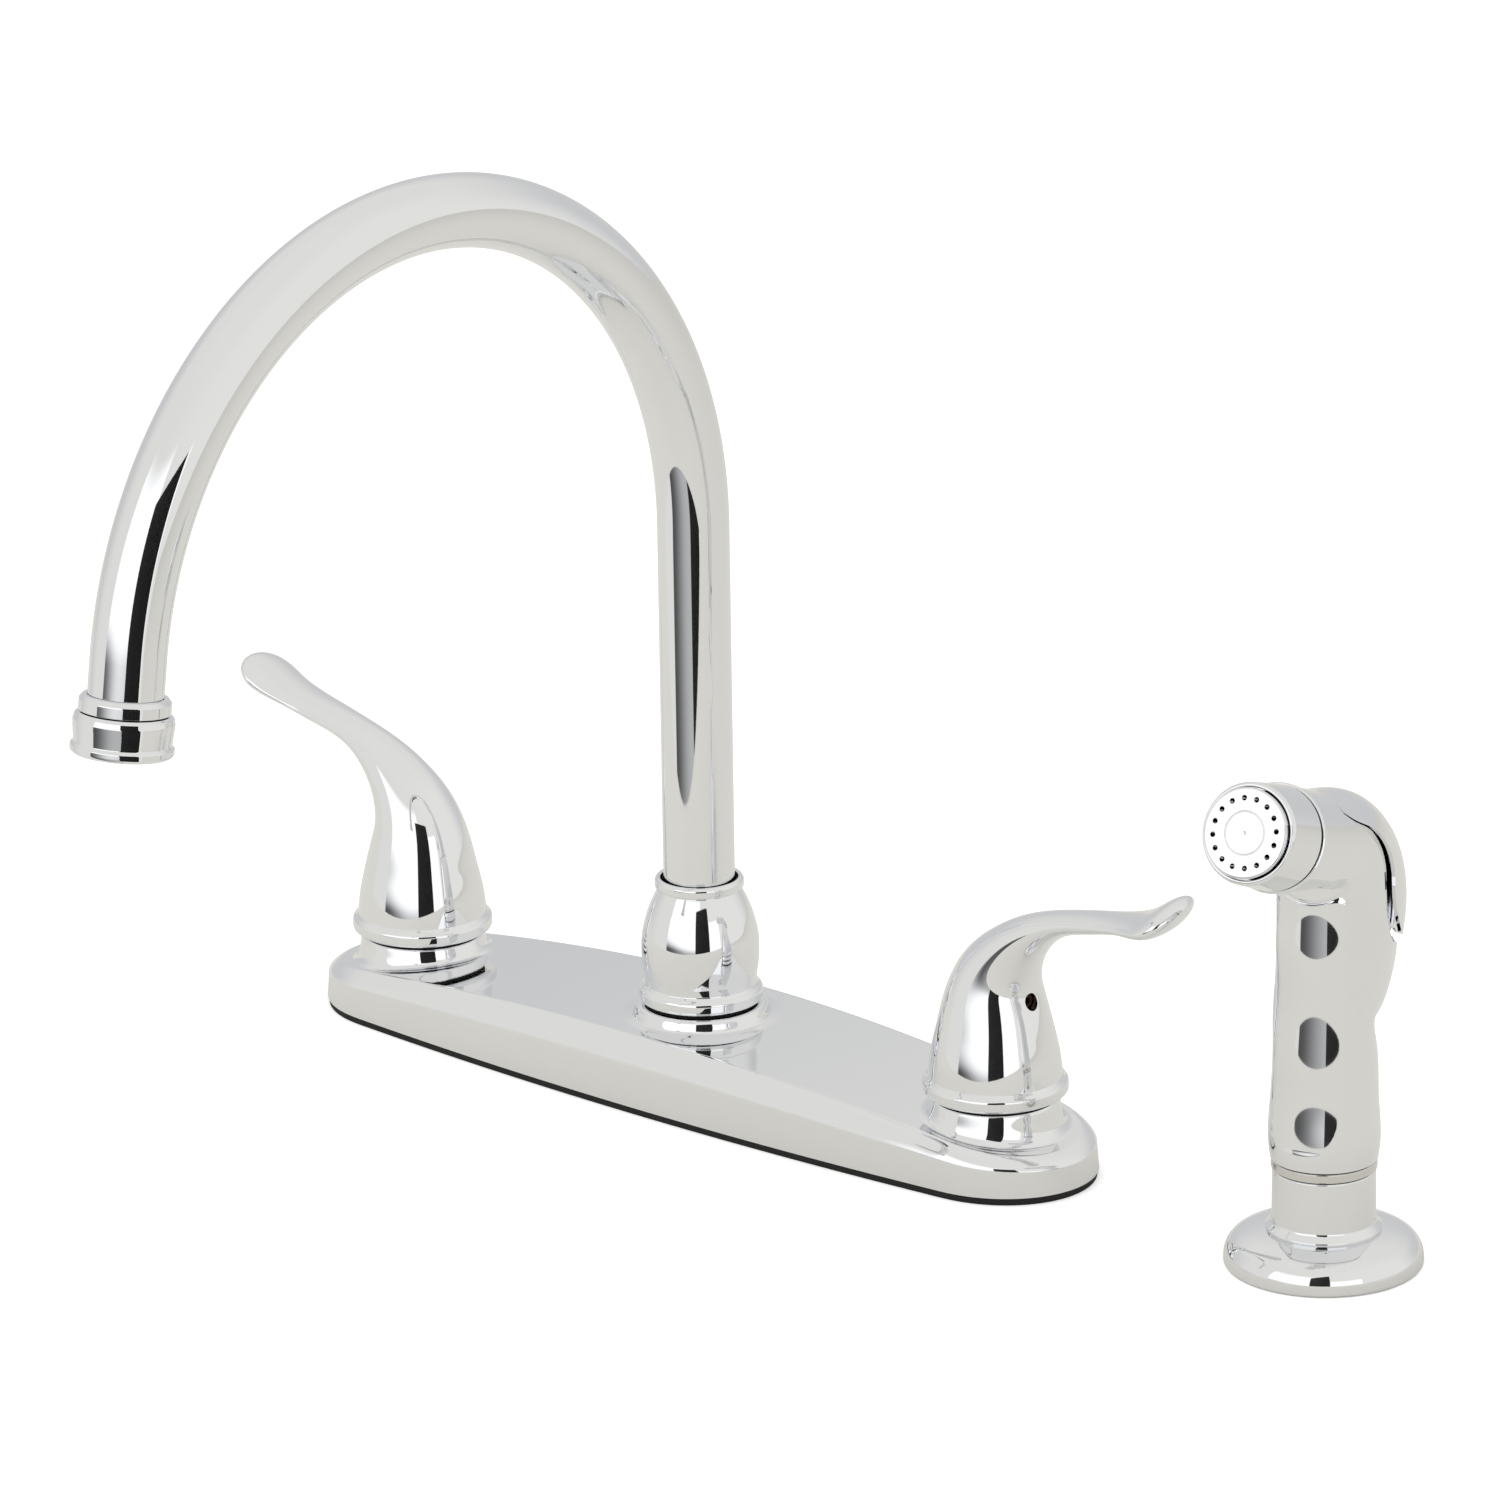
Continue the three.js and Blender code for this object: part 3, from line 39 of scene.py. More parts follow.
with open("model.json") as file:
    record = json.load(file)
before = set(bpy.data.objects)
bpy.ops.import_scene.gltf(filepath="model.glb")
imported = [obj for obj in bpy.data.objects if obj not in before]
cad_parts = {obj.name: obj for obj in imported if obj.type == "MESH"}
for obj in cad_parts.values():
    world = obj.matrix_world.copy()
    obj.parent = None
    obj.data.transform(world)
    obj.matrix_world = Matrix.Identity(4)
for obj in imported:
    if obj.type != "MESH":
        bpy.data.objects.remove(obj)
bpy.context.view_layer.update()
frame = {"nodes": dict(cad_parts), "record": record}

# ---------- sizes in millimetres, as in the part's source ----------
MM = 0.001
ROUND = 128  # points round a turned piece
GAP = 0.3  # running clearance between pieces
HOLE_PITCH = 101.6  # spout hole to each valve hole
PLATE_END_REACH, PLATE_END_HALF_WIDTH, PLATE_HALF_WIDTH = 28.2, 25.2, 29.5
PLATE_BEVEL, PLATE_DRAFT, PLATE_WALL, PLATE_FOOT = 4.5, 0.5, 2.2, 2.05
ARCH_R, ARCH_CENTRE_HEIGHT, ARCH_FOOT = 105.0, 156.4, 38.1
OUTLET_LEAN, OUTLET_STRAIGHT = 8.5, 8.8
HANDLE_TURN = -2.0
# Bell and lever: out along the lever, up, half thickness, half width, twist in degrees
HANDLE_SECTIONS = [
    [0, 25.6, 17.7, 17.7, 0], [0, 33, 16.9, 16.9, 0], [0, 40, 15.4, 15.4, 0],
    [0.2, 47, 13.7, 13.8, 0], [1.7, 54.3, 11.4, 11.9, 0], [6.2, 61.8, 8.2, 9.8, 0],
    [12.6, 67.8, 5.7, 7.9, 0], [23.3, 73.4, 3.4, 6.3, 0], [36.5, 76.7, 2.7, 6.8, 0],
    [47.7, 79.2, 2.4, 8.2, 3], [56, 81.8, 3.2, 10.4, 9], [63.5, 87.3, 3.2, 12.4, 13],
]
SPRAY_X, SPRAY_Y, SPRAY_TURN = 206.9, 2.5, 9.0
NOZZLE_TILT, NOZZLE_REACH, NOZZLE_HEIGHT = 20.85, 27.1, 121.5
# Spray from its foot and trigger from its lower end, both up to the nozzle's joint: forward, up,
# half depth, half width
SPRAY_SECTIONS = [
    [0, 28.9, 13.7, 13.7], [0, 32, 14.1, 14.1], [0, 45, 13.7, 13.7], [0, 57, 13.2, 13.2],
    [0.3, 68.5, 13.2, 13], [-2.0, 73, 16.5, 13.3], [-4.2, 77.5, 18.6, 13.5], [-5.7, 83, 20, 13.6],
    [-5.9, 89, 20.4, 13.4], [-4.9, 96, 19.6, 13], [-3.6, 103, 18.3, 12.9], [0.8, 110, 15, 12.9],
    [10, 115, 13.4, 13.3], [27.1, 121.5, 13.5, 13.5],
]
TRIGGER_SECTIONS = [
    [-6.2, 82.5, 20.8, 13.8], [-8, 92, 23, 14], [-6.4, 101, 21.4, 14], [-1, 109.6, 16.6, 13.9],
    [10, 115, 13.5, 13.6], [27.1, 121.5, 13.7, 13.7],
]
# Trigger's front edge seen from the side, from the crown down to its lower end
TRIGGER_EDGE = [
    [9.5, 124.5], [6, 121.8], [0, 118.5], [-6, 114], [-9.8, 108.5], [-11, 103], [-10.8, 98],
    [-12.8, 91], [-17, 85.5], [-26, 83], [-31.5, 88.5],
]
TRIGGER_WALL = (2.2, 0.9)  # in depth and in width
TRIGGER_PIVOT, TRIGGER_TRAVEL = (-5.5, 119.0), 8.0
# Grip's front: heights where hollows and rises meet, tilt at its ends, swing of each in degrees
FINGER_EDGES = np.array([33.3, 48.1, 54.8, 70.6, 85.0, 96.6, 107.0])
FINGER_TILT, FINGER_SWING = (5.5, -2.2), (2.6, -2.0, 2.6, -3.4, 2.6, -3.0)
FINGER_FOOT_REACH, FINGER_CENTRE = 13.85, -5.4
FACE_HOLES, FACE_HOLE_RING_R, FACE_HOLE_R = 16, 8.7, 0.7


# ---------- colours and nodes ----------
def srgb(code):
    """Linear RGBA of an sRGB hex colour."""
    channels = np.array([int(code[i : i + 2], 16) for i in (1, 3, 5)]) / 255
    linear = np.where(channels <= 0.04045, channels / 12.92, ((channels + 0.055) / 1.055) ** 2.4)
    return (*linear.tolist(), 1.0)


def add_node(tree, kind, links=None, inputs=None, **settings):
    """Adds a node with its settings, its constant inputs and its links {input: (node, output)}."""
    node = tree.nodes.new(kind)
    for key, value in settings.items():
        setattr(node, key, value)
    for key, value in (inputs or {}).items():
        node.inputs[key].default_value = value
    for key, (source, output) in (links or {}).items():
        tree.links.new(source.outputs[output], node.inputs[key])
    return node


def calculate(tree, operation, *values):
    """Output of a Math node over numbers and outputs. An output is a (node, name) pair."""
    links = {place: item for place, item in enumerate(values) if isinstance(item, tuple)}
    inputs = {place: item for place, item in enumerate(values) if not isinstance(item, tuple)}
    return add_node(tree, "ShaderNodeMath", links, inputs, operation=operation), 0


def ramp(tree, source, low, high, start=0.0, end=1.0, kind="SMOOTHSTEP"):
    """Value that goes from start to end as the source goes from low to high."""
    links, way = {"Value": source}, {"interpolation_type": kind}
    limits = {"From Min": low, "From Max": high, "To Min": start, "To Max": end}
    return add_node(tree, "ShaderNodeMapRange", links, limits, **way), 0


def band(tree, source, ends, soft):
    """1 while the source lies between the two ends, with soft edges."""
    low, high = ends
    rise = ramp(tree, source, low - soft, low + soft)
    fall = ramp(tree, source, high - soft, high + soft, 1.0, 0.0)
    return calculate(tree, "MULTIPLY", rise, fall)


def blend(tree, factor, low, high):
    """Colour that goes from low to high with the factor. Each is an RGBA or an output, which is
    a (node, name) pair."""
    ends = {6: low, 7: high}
    links = {place: item for place, item in ends.items() if len(item) == 2}
    inputs = {place: item for place, item in ends.items() if len(item) == 4}
    return add_node(tree, "ShaderNodeMix", {0: factor, **links}, inputs, data_type="RGBA"), 2


def new_material(name):
    """An empty node material with its output node."""
    material = bpy.data.materials.new(name)
    material.use_nodes = True
    material.node_tree.nodes.clear()
    return material, material.node_tree, material.node_tree.nodes.new("ShaderNodeOutputMaterial")


# ---------- forms ----------
MERGE_DISTANCE = 1e-7  # metres within which points of joined meshes become one
NEARLY_STRAIGHT = 0.01  # half a corner's turn, in radians, below which it isn't rounded
ARC_SHARE = 0.48  # share of a side that one corner's arc may take
LEAD, LEAD_SHARE = 0.06, 0.2  # how far beyond an arc its straight gets a point
TIP_ROWS, TIP_END = 40, 0.999  # rows over a rounded tip, and the share of its quarter turn


def place_at(x=0, y=0, z=0, turn=0, axis="Z"):
    """Frame at a place in millimetres, turned by degrees about one of its axes."""
    rotation = Matrix.Rotation(math.radians(turn), 4, axis)
    return Matrix.Translation((x * MM, y * MM, z * MM)) @ rotation


def grid_mesh(name, points, wrap_u=False, wrap_v=False, caps=()):
    """Mesh over a grid of points [u, v]: quads between neighbours, closed round u or v if it
    wraps. caps lists the ends of v, 0 or -1, that are closed by a fan from their middle."""
    rows, columns = points.shape[:2]
    index = np.arange(rows * columns).reshape(rows, columns)
    u = np.vstack([index, index[:1]]) if wrap_u else index
    u = np.hstack([u, u[:, :1]]) if wrap_v else u
    quads = np.stack([u[:-1, :-1], u[1:, :-1], u[1:, 1:], u[:-1, 1:]], -1).reshape(-1, 4)
    vertices = points.reshape(-1, 3)
    faces = quads.tolist()
    for end in caps:
        middle = len(vertices)
        vertices = np.vstack([vertices, points[:, end].mean(0)])
        rim = np.stack([u[:-1, end], u[1:, end]], -1)
        rim = rim if end == -1 else rim[:, ::-1]
        faces += np.column_stack([rim, np.full(len(rim), middle)]).tolist()
    mesh = bpy.data.meshes.new(name)
    mesh.from_pydata(vertices.tolist(), [], faces)
    return mesh


def joined(name, *meshes):
    """One mesh of several, with points that coincide merged."""
    shape = bmesh.new()
    for mesh in meshes:
        shape.from_mesh(mesh)
    bmesh.ops.remove_doubles(shape, verts=shape.verts, dist=MERGE_DISTANCE)
    whole = bpy.data.meshes.new(name)
    shape.to_mesh(whole)
    shape.free()
    return whole


def in_scene(name, data):
    """New object of that data, in the scene."""
    item = bpy.data.objects.new(name, data)
    bpy.context.scene.collection.objects.link(item)
    return item


def evaluated(item):
    """Mesh of an object with its modifier applied."""
    graph = bpy.context.evaluated_depsgraph_get()
    return bpy.data.meshes.new_from_object(item.evaluated_get(graph))


def boolean(mesh, tool, operation="DIFFERENCE"):
    """Mesh joined with, cut by or kept inside another closed mesh."""
    objects = [in_scene(part.name, part) for part in (mesh, tool)]
    modifier = objects[0].modifiers.new("cut", "BOOLEAN")
    modifier.operation = operation
    modifier.solver = "EXACT"
    modifier.object = objects[1]
    result = evaluated(objects[0])
    for item in objects:
        bpy.data.objects.remove(item)
    if not result.polygons:
        raise RuntimeError(f"{mesh.name} is empty after {operation} with {tool.name}")
    result.name = mesh.name
    return result


def add_piece(name, mesh, slot, body, replaces=(), sharp_turn=None):
    """Puts a mesh in the scene as a finished piece on a body, in place of the solids it stands
    for. Edges that turn by more than sharp_turn degrees are sharp."""
    mesh.polygons.foreach_set("use_smooth", np.ones(len(mesh.polygons), bool))
    if sharp_turn:
        mesh.set_sharp_from_angle(angle=math.radians(sharp_turn))
    mesh.update()
    piece = in_scene(name, mesh)
    mesh.materials.clear()
    mesh.materials.append(finish(slot))
    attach(piece, body)
    if replaces:
        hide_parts(*replaces)


def rounded(corners, steps=8):
    """Polyline through [a, b, radius] corners with each corner turned by an arc of its radius,
    as far as its sides allow. Straights get a point near each end, which keeps them flat."""
    corners = np.array(corners, float)
    points, radii = corners[:, :2], corners[:, 2]
    path = [points[0]]
    for before, corner, after, radius in zip(points, points[1:], points[2:], radii[1:]):
        arm_in, arm_out = before - corner, after - corner
        reach_in, reach_out = np.linalg.norm(arm_in), np.linalg.norm(arm_out)
        arm_in, arm_out = arm_in / reach_in, arm_out / reach_out
        half = math.acos(float(np.clip(arm_in @ arm_out, -1, 1))) / 2
        if radius <= 0 or half > math.pi / 2 - NEARLY_STRAIGHT:
            path.append(corner)
            continue
        tangent = min(radius / math.tan(half), ARC_SHARE * reach_in, ARC_SHARE * reach_out)
        start, end = corner + arm_in * tangent, corner + arm_out * tangent
        middle = (arm_in + arm_out) / np.linalg.norm(arm_in + arm_out)
        centre = corner + middle * tangent / math.cos(half)
        r = tangent * math.tan(half)
        first, last = (start - centre) / r, (end - centre) / r
        turn = math.acos(float(np.clip(first @ last, -1, 1)))
        share = np.linspace(0, 1, steps + 1)[:, None]
        swept = np.sin((1 - share) * turn) * first + np.sin(share * turn) * last
        arc = centre + r * swept / math.sin(turn)
        lead = min(LEAD, LEAD_SHARE * tangent)
        path.append(start + arm_in * lead)
        path.extend(arc)
        path.append(end + arm_out * lead)
    path.append(points[-1])
    return np.array(path)


def spline(rows, count):
    """Smooth curve through rows of values: the natural cubic spline over the distance run in the
    first two columns, which has no kink in its curvature."""
    rows = np.array(rows, float)
    chord = np.linalg.norm(np.diff(rows[:, :2], axis=0), axis=1)
    knots = np.concatenate([[0], np.cumsum(chord)])
    inner = np.arange(1, len(rows) - 1)
    system = np.eye(len(rows))
    system[inner, inner - 1] = chord[:-1]
    system[inner, inner] = 2 * (chord[:-1] + chord[1:])
    system[inner, inner + 1] = chord[1:]
    right = np.zeros_like(rows)
    right[1:-1] = 6 * np.diff(np.diff(rows, axis=0) / chord[:, None], axis=0)
    bend = np.linalg.solve(system, right)
    at = np.linspace(0, knots[-1], count)
    span = np.clip(np.searchsorted(knots, at, "right") - 1, 0, len(chord) - 1)
    h = chord[span][:, None]
    a = (knots[span + 1] - at)[:, None] / h
    b = 1 - a
    lift = (a**3 - a) * bend[span] + (b**3 - b) * bend[span + 1]
    return a * rows[span] + b * rows[span + 1] + lift * h * h / 6


def circle(count):
    """Even steps round a circle, as a column of angles."""
    return np.linspace(0, 2 * math.pi, count, endpoint=False)[:, None]


def unit(steps):
    """Steps in the plane, scaled to a length of 1."""
    return steps / np.linalg.norm(steps, axis=1)[:, None]


def run_along(points):
    """Distance run along a line at each of its points."""
    return np.concatenate([[0], np.cumsum(np.linalg.norm(np.diff(points, axis=0), axis=1))])


def turned(name, profile, place=None, sides=ROUND, closed=False, caps=()):
    """Surface of revolution about Z: the profile's (radius, height) carried round a circle."""
    angle = circle(sides)
    r, z = profile[None, :, 0], profile[None, :, 1]
    points = np.stack([r * np.cos(angle), r * np.sin(angle), z + 0 * angle], -1) * MM
    mesh = grid_mesh(name, points, wrap_u=True, wrap_v=closed, caps=caps)
    if place:
        mesh.transform(place)
    return mesh


def ring(name, corners, place):
    """Turned ring whose section is the closed polygon of [radius, height, rounding] corners,
    listed up its outside and down its inside."""
    corners = np.array(corners, float)
    first = (corners[0] + corners[-1]) / 2
    first[2] = 0
    return turned(name, rounded([first, *corners, first])[:-1], place, closed=True)


def lofted(name, path, sides, shape=None):
    """Skin over ellipses that stand square to a spine in the X-Z plane. Each row of path is the
    centre's x and z, the half depth and half width, and the ellipse's turn about the spine in
    degrees. shape, if given, moves the finished points."""
    step = unit(np.gradient(path[:, :2], axis=0))
    angle = circle(sides)
    depth, width = path[:, 2] * np.cos(angle), path[:, 3] * np.sin(angle)
    twist = np.radians(path[:, 4])
    across = depth * np.cos(twist) - width * np.sin(twist)
    aside = depth * np.sin(twist) + width * np.cos(twist)
    forward, up = path[:, 0] + step[:, 1] * across, path[:, 1] - step[:, 0] * across
    points = np.stack([forward, aside, up], -1)
    if shape:
        points = shape(points)
    return grid_mesh(name, points * MM, wrap_u=True, caps=(0, -1))


def round_off(path, reach):
    """Closes the far end of a lofted path like a fingertip, over its last `reach` millimetres:
    with q the share run, the half width shrinks as the root of 1 - q^2 and the half depth as that
    of 1 - q^4. The rows are set closer together towards the end."""
    run = run_along(path[:, :2])
    share = np.sin(np.linspace(0, TIP_END * math.pi / 2, TIP_ROWS))
    at = np.concatenate([run[run < run[-1] - reach], run[-1] - reach + reach * share])
    path = np.column_stack([np.interp(at, run, column) for column in path.T])
    q = np.clip((at - run[-1] + reach) / reach, 0, 1)
    path[:, 2] *= np.sqrt(1 - q**4)
    path[:, 3] *= np.sqrt(1 - q**2)
    return path


def bar(name, r, low, high, place=None, sides=32):
    """Plain round bar along Z, a tool for cutting."""
    return turned(name, np.array([[r, low], [r, high]], float), place, sides, caps=(0, -1))


def slab(name, outline, half_width):
    """Plate whose outline lies in the X-Z plane, `half_width` to each side of it."""
    x, z = np.array(outline, float).T
    points = np.stack([np.stack([x, 0 * x + y, z], -1) for y in (half_width, -half_width)], 1)
    mesh = grid_mesh(name, points * MM, wrap_u=True)
    shape = bmesh.new()
    shape.from_mesh(mesh)
    shape.verts.ensure_lookup_table()
    for side in (0, 1):
        shape.faces.new([shape.verts[2 * i + side] for i in range(len(x))])
    bmesh.ops.recalc_face_normals(shape, faces=shape.faces)
    shape.to_mesh(mesh)
    shape.free()
    return mesh


# ---------- settings ----------
class StudioSettings(bpy.types.PropertyGroup):
    """Floor, table edge and lamp of the studio."""

    floor_colour: bpy.props.FloatVectorProperty(
        name="Floor", description="Colour of the floor",
        subtype="COLOR", size=4, default=srgb("#F4F4F3"),
    )
    mirrored_colour: bpy.props.FloatVectorProperty(
        name="Mirrored floor", description="Colour of the floor as mirrors see it",
        subtype="COLOR", size=4, default=srgb("#EAE8E1"),
    )
    table_edge: bpy.props.FloatProperty(
        name="Table edge",
        description="How far in front of the faucet the table ends, as mirrors see it",
        subtype="DISTANCE", default=0.25,
    )
    lamp_power: bpy.props.FloatProperty(
        name="Lamp", description="Power of the soft lamp overhead", subtype="POWER", default=5.0
    )


class FaucetSettings(bpy.types.PropertyGroup):
    """Tube and colours of the faucet."""

    tube_radius: bpy.props.FloatProperty(
        name="Tube", description="Radius of the spout's tube",
        subtype="DISTANCE", default=9.525 * MM,
    )
    chrome_colour: bpy.props.FloatVectorProperty(
        name="Chrome", description="Colour of the chrome plate",
        subtype="COLOR", size=4, default=srgb("#EDEEF0"),
    )
    # Also the colour of the rings that paint the shade in the gaps under the handles and hub
    rubber_colour: bpy.props.FloatVectorProperty(
        name="Rubber", description="Colour of gasket and seals",
        subtype="COLOR", size=4, default=srgb("#131314"),
    )
    brass_colour: bpy.props.FloatVectorProperty(
        name="Brass", description="Colour of the bare brass",
        subtype="COLOR", size=4, default=srgb("#C9A55A"),
    )


# ---------- finishes ----------
# Kinds of grain: octaves, height in metres, how metallic the piece is
METAL, MOULDED = (3.0, 0.0002, 1.0), (4.0, 0.0001, 0.0)
NOISE_RANGE = (0.3, 0.7)  # what the noise keeps within, nearly
ROUGHNESS_SPREAD = (0.85, 1.15)  # share of its roughness that a metal has at the range's ends


def grained(name, colour, roughness, grain, strength, octaves, relief, metallic):
    """Material whose surface rises and falls with a noise of `grain` cycles a metre: bare or
    plated metal, whose roughness follows the noise a little, or what is moulded or ground."""
    material, tree, output = new_material(name)
    place = add_node(tree, "ShaderNodeTexCoord")
    fineness = {"Scale": grain, "Detail": octaves}
    height = {"Strength": strength, "Distance": relief}
    noise = add_node(tree, "ShaderNodeTexNoise", {"Vector": (place, "Object")}, fineness)
    bump = add_node(tree, "ShaderNodeBump", {"Height": (noise, "Fac")}, height)
    base = {"Base Color": colour, "Roughness": roughness, "Metallic": metallic}
    shader = add_node(tree, "ShaderNodeBsdfPrincipled", {"Normal": (bump, "Normal")}, base)
    if metallic:
        ends = (share * roughness for share in ROUGHNESS_SPREAD)
        spread, result = ramp(tree, (noise, "Fac"), *NOISE_RANGE, *ends, "LINEAR")
        tree.links.new(spread.outputs[result], shader.inputs["Roughness"])
    tree.links.new(shader.outputs[0], output.inputs["Surface"])
    return material


# Finishes by material slot: name, hex colour or setting, roughness, grain in cycles a metre, how
# strongly it stands out, and its kind
FINISHES = {
    # Chrome plate over buffed zinc: a cool mirror, with a trace of the buffing's waviness
    "chrome": ("Polished chrome plate", "chrome_colour", 0.035, 45.0, 0.012, *METAL),
    # Chrome plate over turned brass: the turning leaves its reflections a little softer
    "satin_chrome": ("Satin chrome plate", "#DAD9D5", 0.12, 300.0, 0.05, *METAL),
    # Machined brass, bare: warm, with a fine turned grain
    "brass": ("Machined brass", "brass_colour", 0.28, 900.0, 0.15, *METAL),
    # Die-cast zinc, bare: grey and a little dull
    "zinc": ("Die-cast zinc", "#B7BABD", 0.42, 500.0, 0.3, *METAL),
    # Stainless steel, rolled: bright with a fine grain
    "steel": ("Stainless steel", "#C4C5C7", 0.25, 1200.0, 0.12, *METAL),
    # Set screw under an oxide coat: near black, with the brown of the oil in its pits
    "dark_steel": ("Black oxide steel", "#3A2A20", 0.5, 1500.0, 0.5, *METAL),
    # Moulded rubber: black and matt. On the rings in the gaps under the handles and the hub it is
    # painted shade
    "black_rubber": ("Moulded rubber", "rubber_colour", 0.75, 1500.0, 0.15, *MOULDED),
    # Nylon, moulded: milky white, half matt
    "white_nylon": ("White nylon", "#E9E8E2", 0.4, 800.0, 0.15, *MOULDED),
    # Alumina, ground and lapped flat: white with a close polish
    "ceramic": ("Lapped ceramic", "#F1EFE8", 0.18, 2000.0, 0.15, *MOULDED),
    # The studio's card: black paper board, matt
    "card": ("Black card", "#050505", 0.9, 200.0, 0.15, *MOULDED),
}


def finish(slot):
    """The finish of a material slot, made once."""
    name, colour, *rest = FINISHES[slot]
    if name in bpy.data.materials:
        return bpy.data.materials[name]
    coloured = srgb(colour) if colour[0] == "#" else getattr(bpy.context.scene.faucet, colour)
    return grained(name, coloured, *rest)


# ---------- cover plate ----------
CROWN_HEIGHT, CROWN_FALL = 20.6, 9.6
CREASE_HEIGHT, CREASE_FALL = 13.0, 4.4
BEVEL_POWER = 1.35  # of the cosine and sine that its section follows
OUTLINE_EASE, OUTLINE_EASE_POINTS = 3.0, 12  # the Gaussian's width, and points to each side
COLLAR_OPENING_R = 14.5  # where the top is left open for a collar
COLLAR_LIP_STEP = 0.3  # how far inside its wall's last row a collar's level top begins
# Collars' walls from the plate up: radius, share of the height
VALVE_WALL = [
    [20.4, 0], [19.5, 0.02], [18.5, 0.12], [17.65, 0.33], [17.2, 0.6], [16.85, 0.85], [16.7, 0.95],
]
HUB_WALL = [
    [21.6, 0], [20.6, 0.025], [19.4, 0.08], [18.5, 0.2], [18.1, 0.45], [17.75, 0.75], [17.2, 0.93],
    [16.2, 0.995],
]
VALVE_TOP, HUB_TOP_LEVEL, VALVE_BORE_R, HUB_BORE_R = 21.0, 24.1, 12.6, 12.1
# Black rings that paint the shade in the gaps under the handles and the hub: name, place along X,
# foot, top, outer and inner radius
GAP_SHADE_RINGS = [
    ("hot", -HOLE_PITCH, VALVE_TOP, 22.0, 15.9, 12.7),
    ("cold", HOLE_PITCH, VALVE_TOP, 22.0, 15.9, 12.7),
    ("hub", 0, HUB_TOP_LEVEL, 24.6, 14.9, 12.3),
]
# Gasket's section: inset from the plate's edge, height, rounding
GASKET_SECTION = [
    [3.4, 0, 0], [0.4, 0, 0.4], [0.4, 2, 0.4], [6.4, 2, 0.4], [6.4, 0, 0.4], [3.4, 0, 0],
]


def crown(x):
    """Height of the plate's top: it falls with the square of the way to the ends."""
    return CROWN_HEIGHT - CROWN_FALL * (x / (HOLE_PITCH + PLATE_END_REACH)) ** 2


def crease(x):
    """Height of the line between the plate's side and its bevel."""
    return CREASE_HEIGHT - CREASE_FALL * (x / (HOLE_PITCH + PLATE_END_REACH)) ** 2


def plate_outline(count=600):
    """Loop round the plate from above, and its inward normals: half ellipses round the valves,
    joined by gently bowed sides, set at even steps and eased by a Gaussian, so that they meet
    without a kink. It starts half a step to the front of the left end, so each front point has
    a back point with the same x."""
    turn = np.radians(np.linspace(0, 90, 80))
    x = -HOLE_PITCH - PLATE_END_REACH * np.cos(turn)
    left = np.stack([x, -PLATE_END_HALF_WIDTH * np.sin(turn)], -1)
    x = np.linspace(-HOLE_PITCH, HOLE_PITCH, 300)[1:-1]
    bow = (PLATE_HALF_WIDTH - PLATE_END_HALF_WIDTH) * (1 - (x / HOLE_PITCH) ** 2)
    front = np.stack([x, -PLATE_END_HALF_WIDTH - bow], -1)
    half = np.vstack([left, front, left[::-1] * [-1, 1]])
    loop = np.vstack([half, half[::-1] * [1, -1]])
    run = run_along(loop)
    at = (np.arange(count) + 0.5) * run[-1] / count
    loop = np.stack([np.interp(at, run, column) for column in loop.T], -1)
    reach = np.arange(-OUTLINE_EASE_POINTS, OUTLINE_EASE_POINTS + 1)
    weight = np.exp(-((reach * run[-1] / count / OUTLINE_EASE) ** 2) / 2)
    shares = zip(weight / weight.sum(), reach)
    loop = sum(share * np.roll(loop, step, axis=0) for share, step in shares)
    step = unit(np.roll(loop, -1, axis=0) - np.roll(loop, 1, axis=0))
    return loop, np.stack([-step[:, 1], step[:, 0]], -1)


def banded(name, inset, height, wrap_v=False):
    """Surface round the plate: at each outline point the section's points stand `inset` in from
    the edge and at the height that `height` gives for their x."""
    loop, inward = plate_outline()
    points = loop[:, None] + inset[None, :, None] * inward[:, None]
    points = np.dstack([points, height(points[..., 0])])
    return grid_mesh(name, points * MM, wrap_u=True, wrap_v=wrap_v)


def plate_top():
    """Plate's crowned top inside its bevel: straight lines from front to back at the crown's
    height, left open where the collars stand."""
    loop, inward = plate_outline()
    half = len(loop) // 2
    edge = (loop + PLATE_BEVEL * inward)[:half]
    share = np.linspace(-1, 1, 61)
    points = np.stack([np.broadcast_to(edge[:, :1], (half, len(share))), -edge[:, 1:] * share], -1)
    mesh = grid_mesh("plate_top", np.dstack([points, crown(points[..., 0])]) * MM)
    shape = bmesh.new()
    shape.from_mesh(mesh)
    for axis in (Vector((x * MM, 0)) for x in (-HOLE_PITCH, 0, HOLE_PITCH)):
        away = [(face.calc_center_median().xy - axis).length for face in shape.faces]
        opened = [face for face, way in zip(shape.faces, away) if way < COLLAR_OPENING_R * MM]
        bmesh.ops.delete(shape, geom=opened, context="FACES")
    shape.to_mesh(mesh)
    shape.free()
    return mesh


def plate_collar(x, wall, top, bore):
    """Collar raised from the plate. Its wall's rows are a radius and a share of the height from
    the plate's crown to the level top: it starts tangent to the plate, then bends up."""
    lip = wall[-1][0] - COLLAR_LIP_STEP
    edge = rounded([[*wall[-1], 0], [lip, 1, 0.2], [bore, 1, 0.2], [bore, 0.8, 0]], 5)
    section = np.vstack([spline(wall, 40)[:-1], edge])
    angle = circle(ROUND)
    radius, level = section.T[:, None]
    height = (1 - level) * crown(x + radius * np.cos(angle)) + level * top
    under = np.array([[bore, wall[0][0]]])
    radius = np.concatenate([radius + 0 * angle, under + 0 * angle], 1)
    height = np.concatenate([height, crown(x + under * np.cos(angle)) - PLATE_WALL], 1)
    points = np.stack([x + radius * np.cos(angle), radius * np.sin(angle), height], -1)
    return grid_mesh("plate_collar", points * MM, wrap_u=True, wrap_v=True)


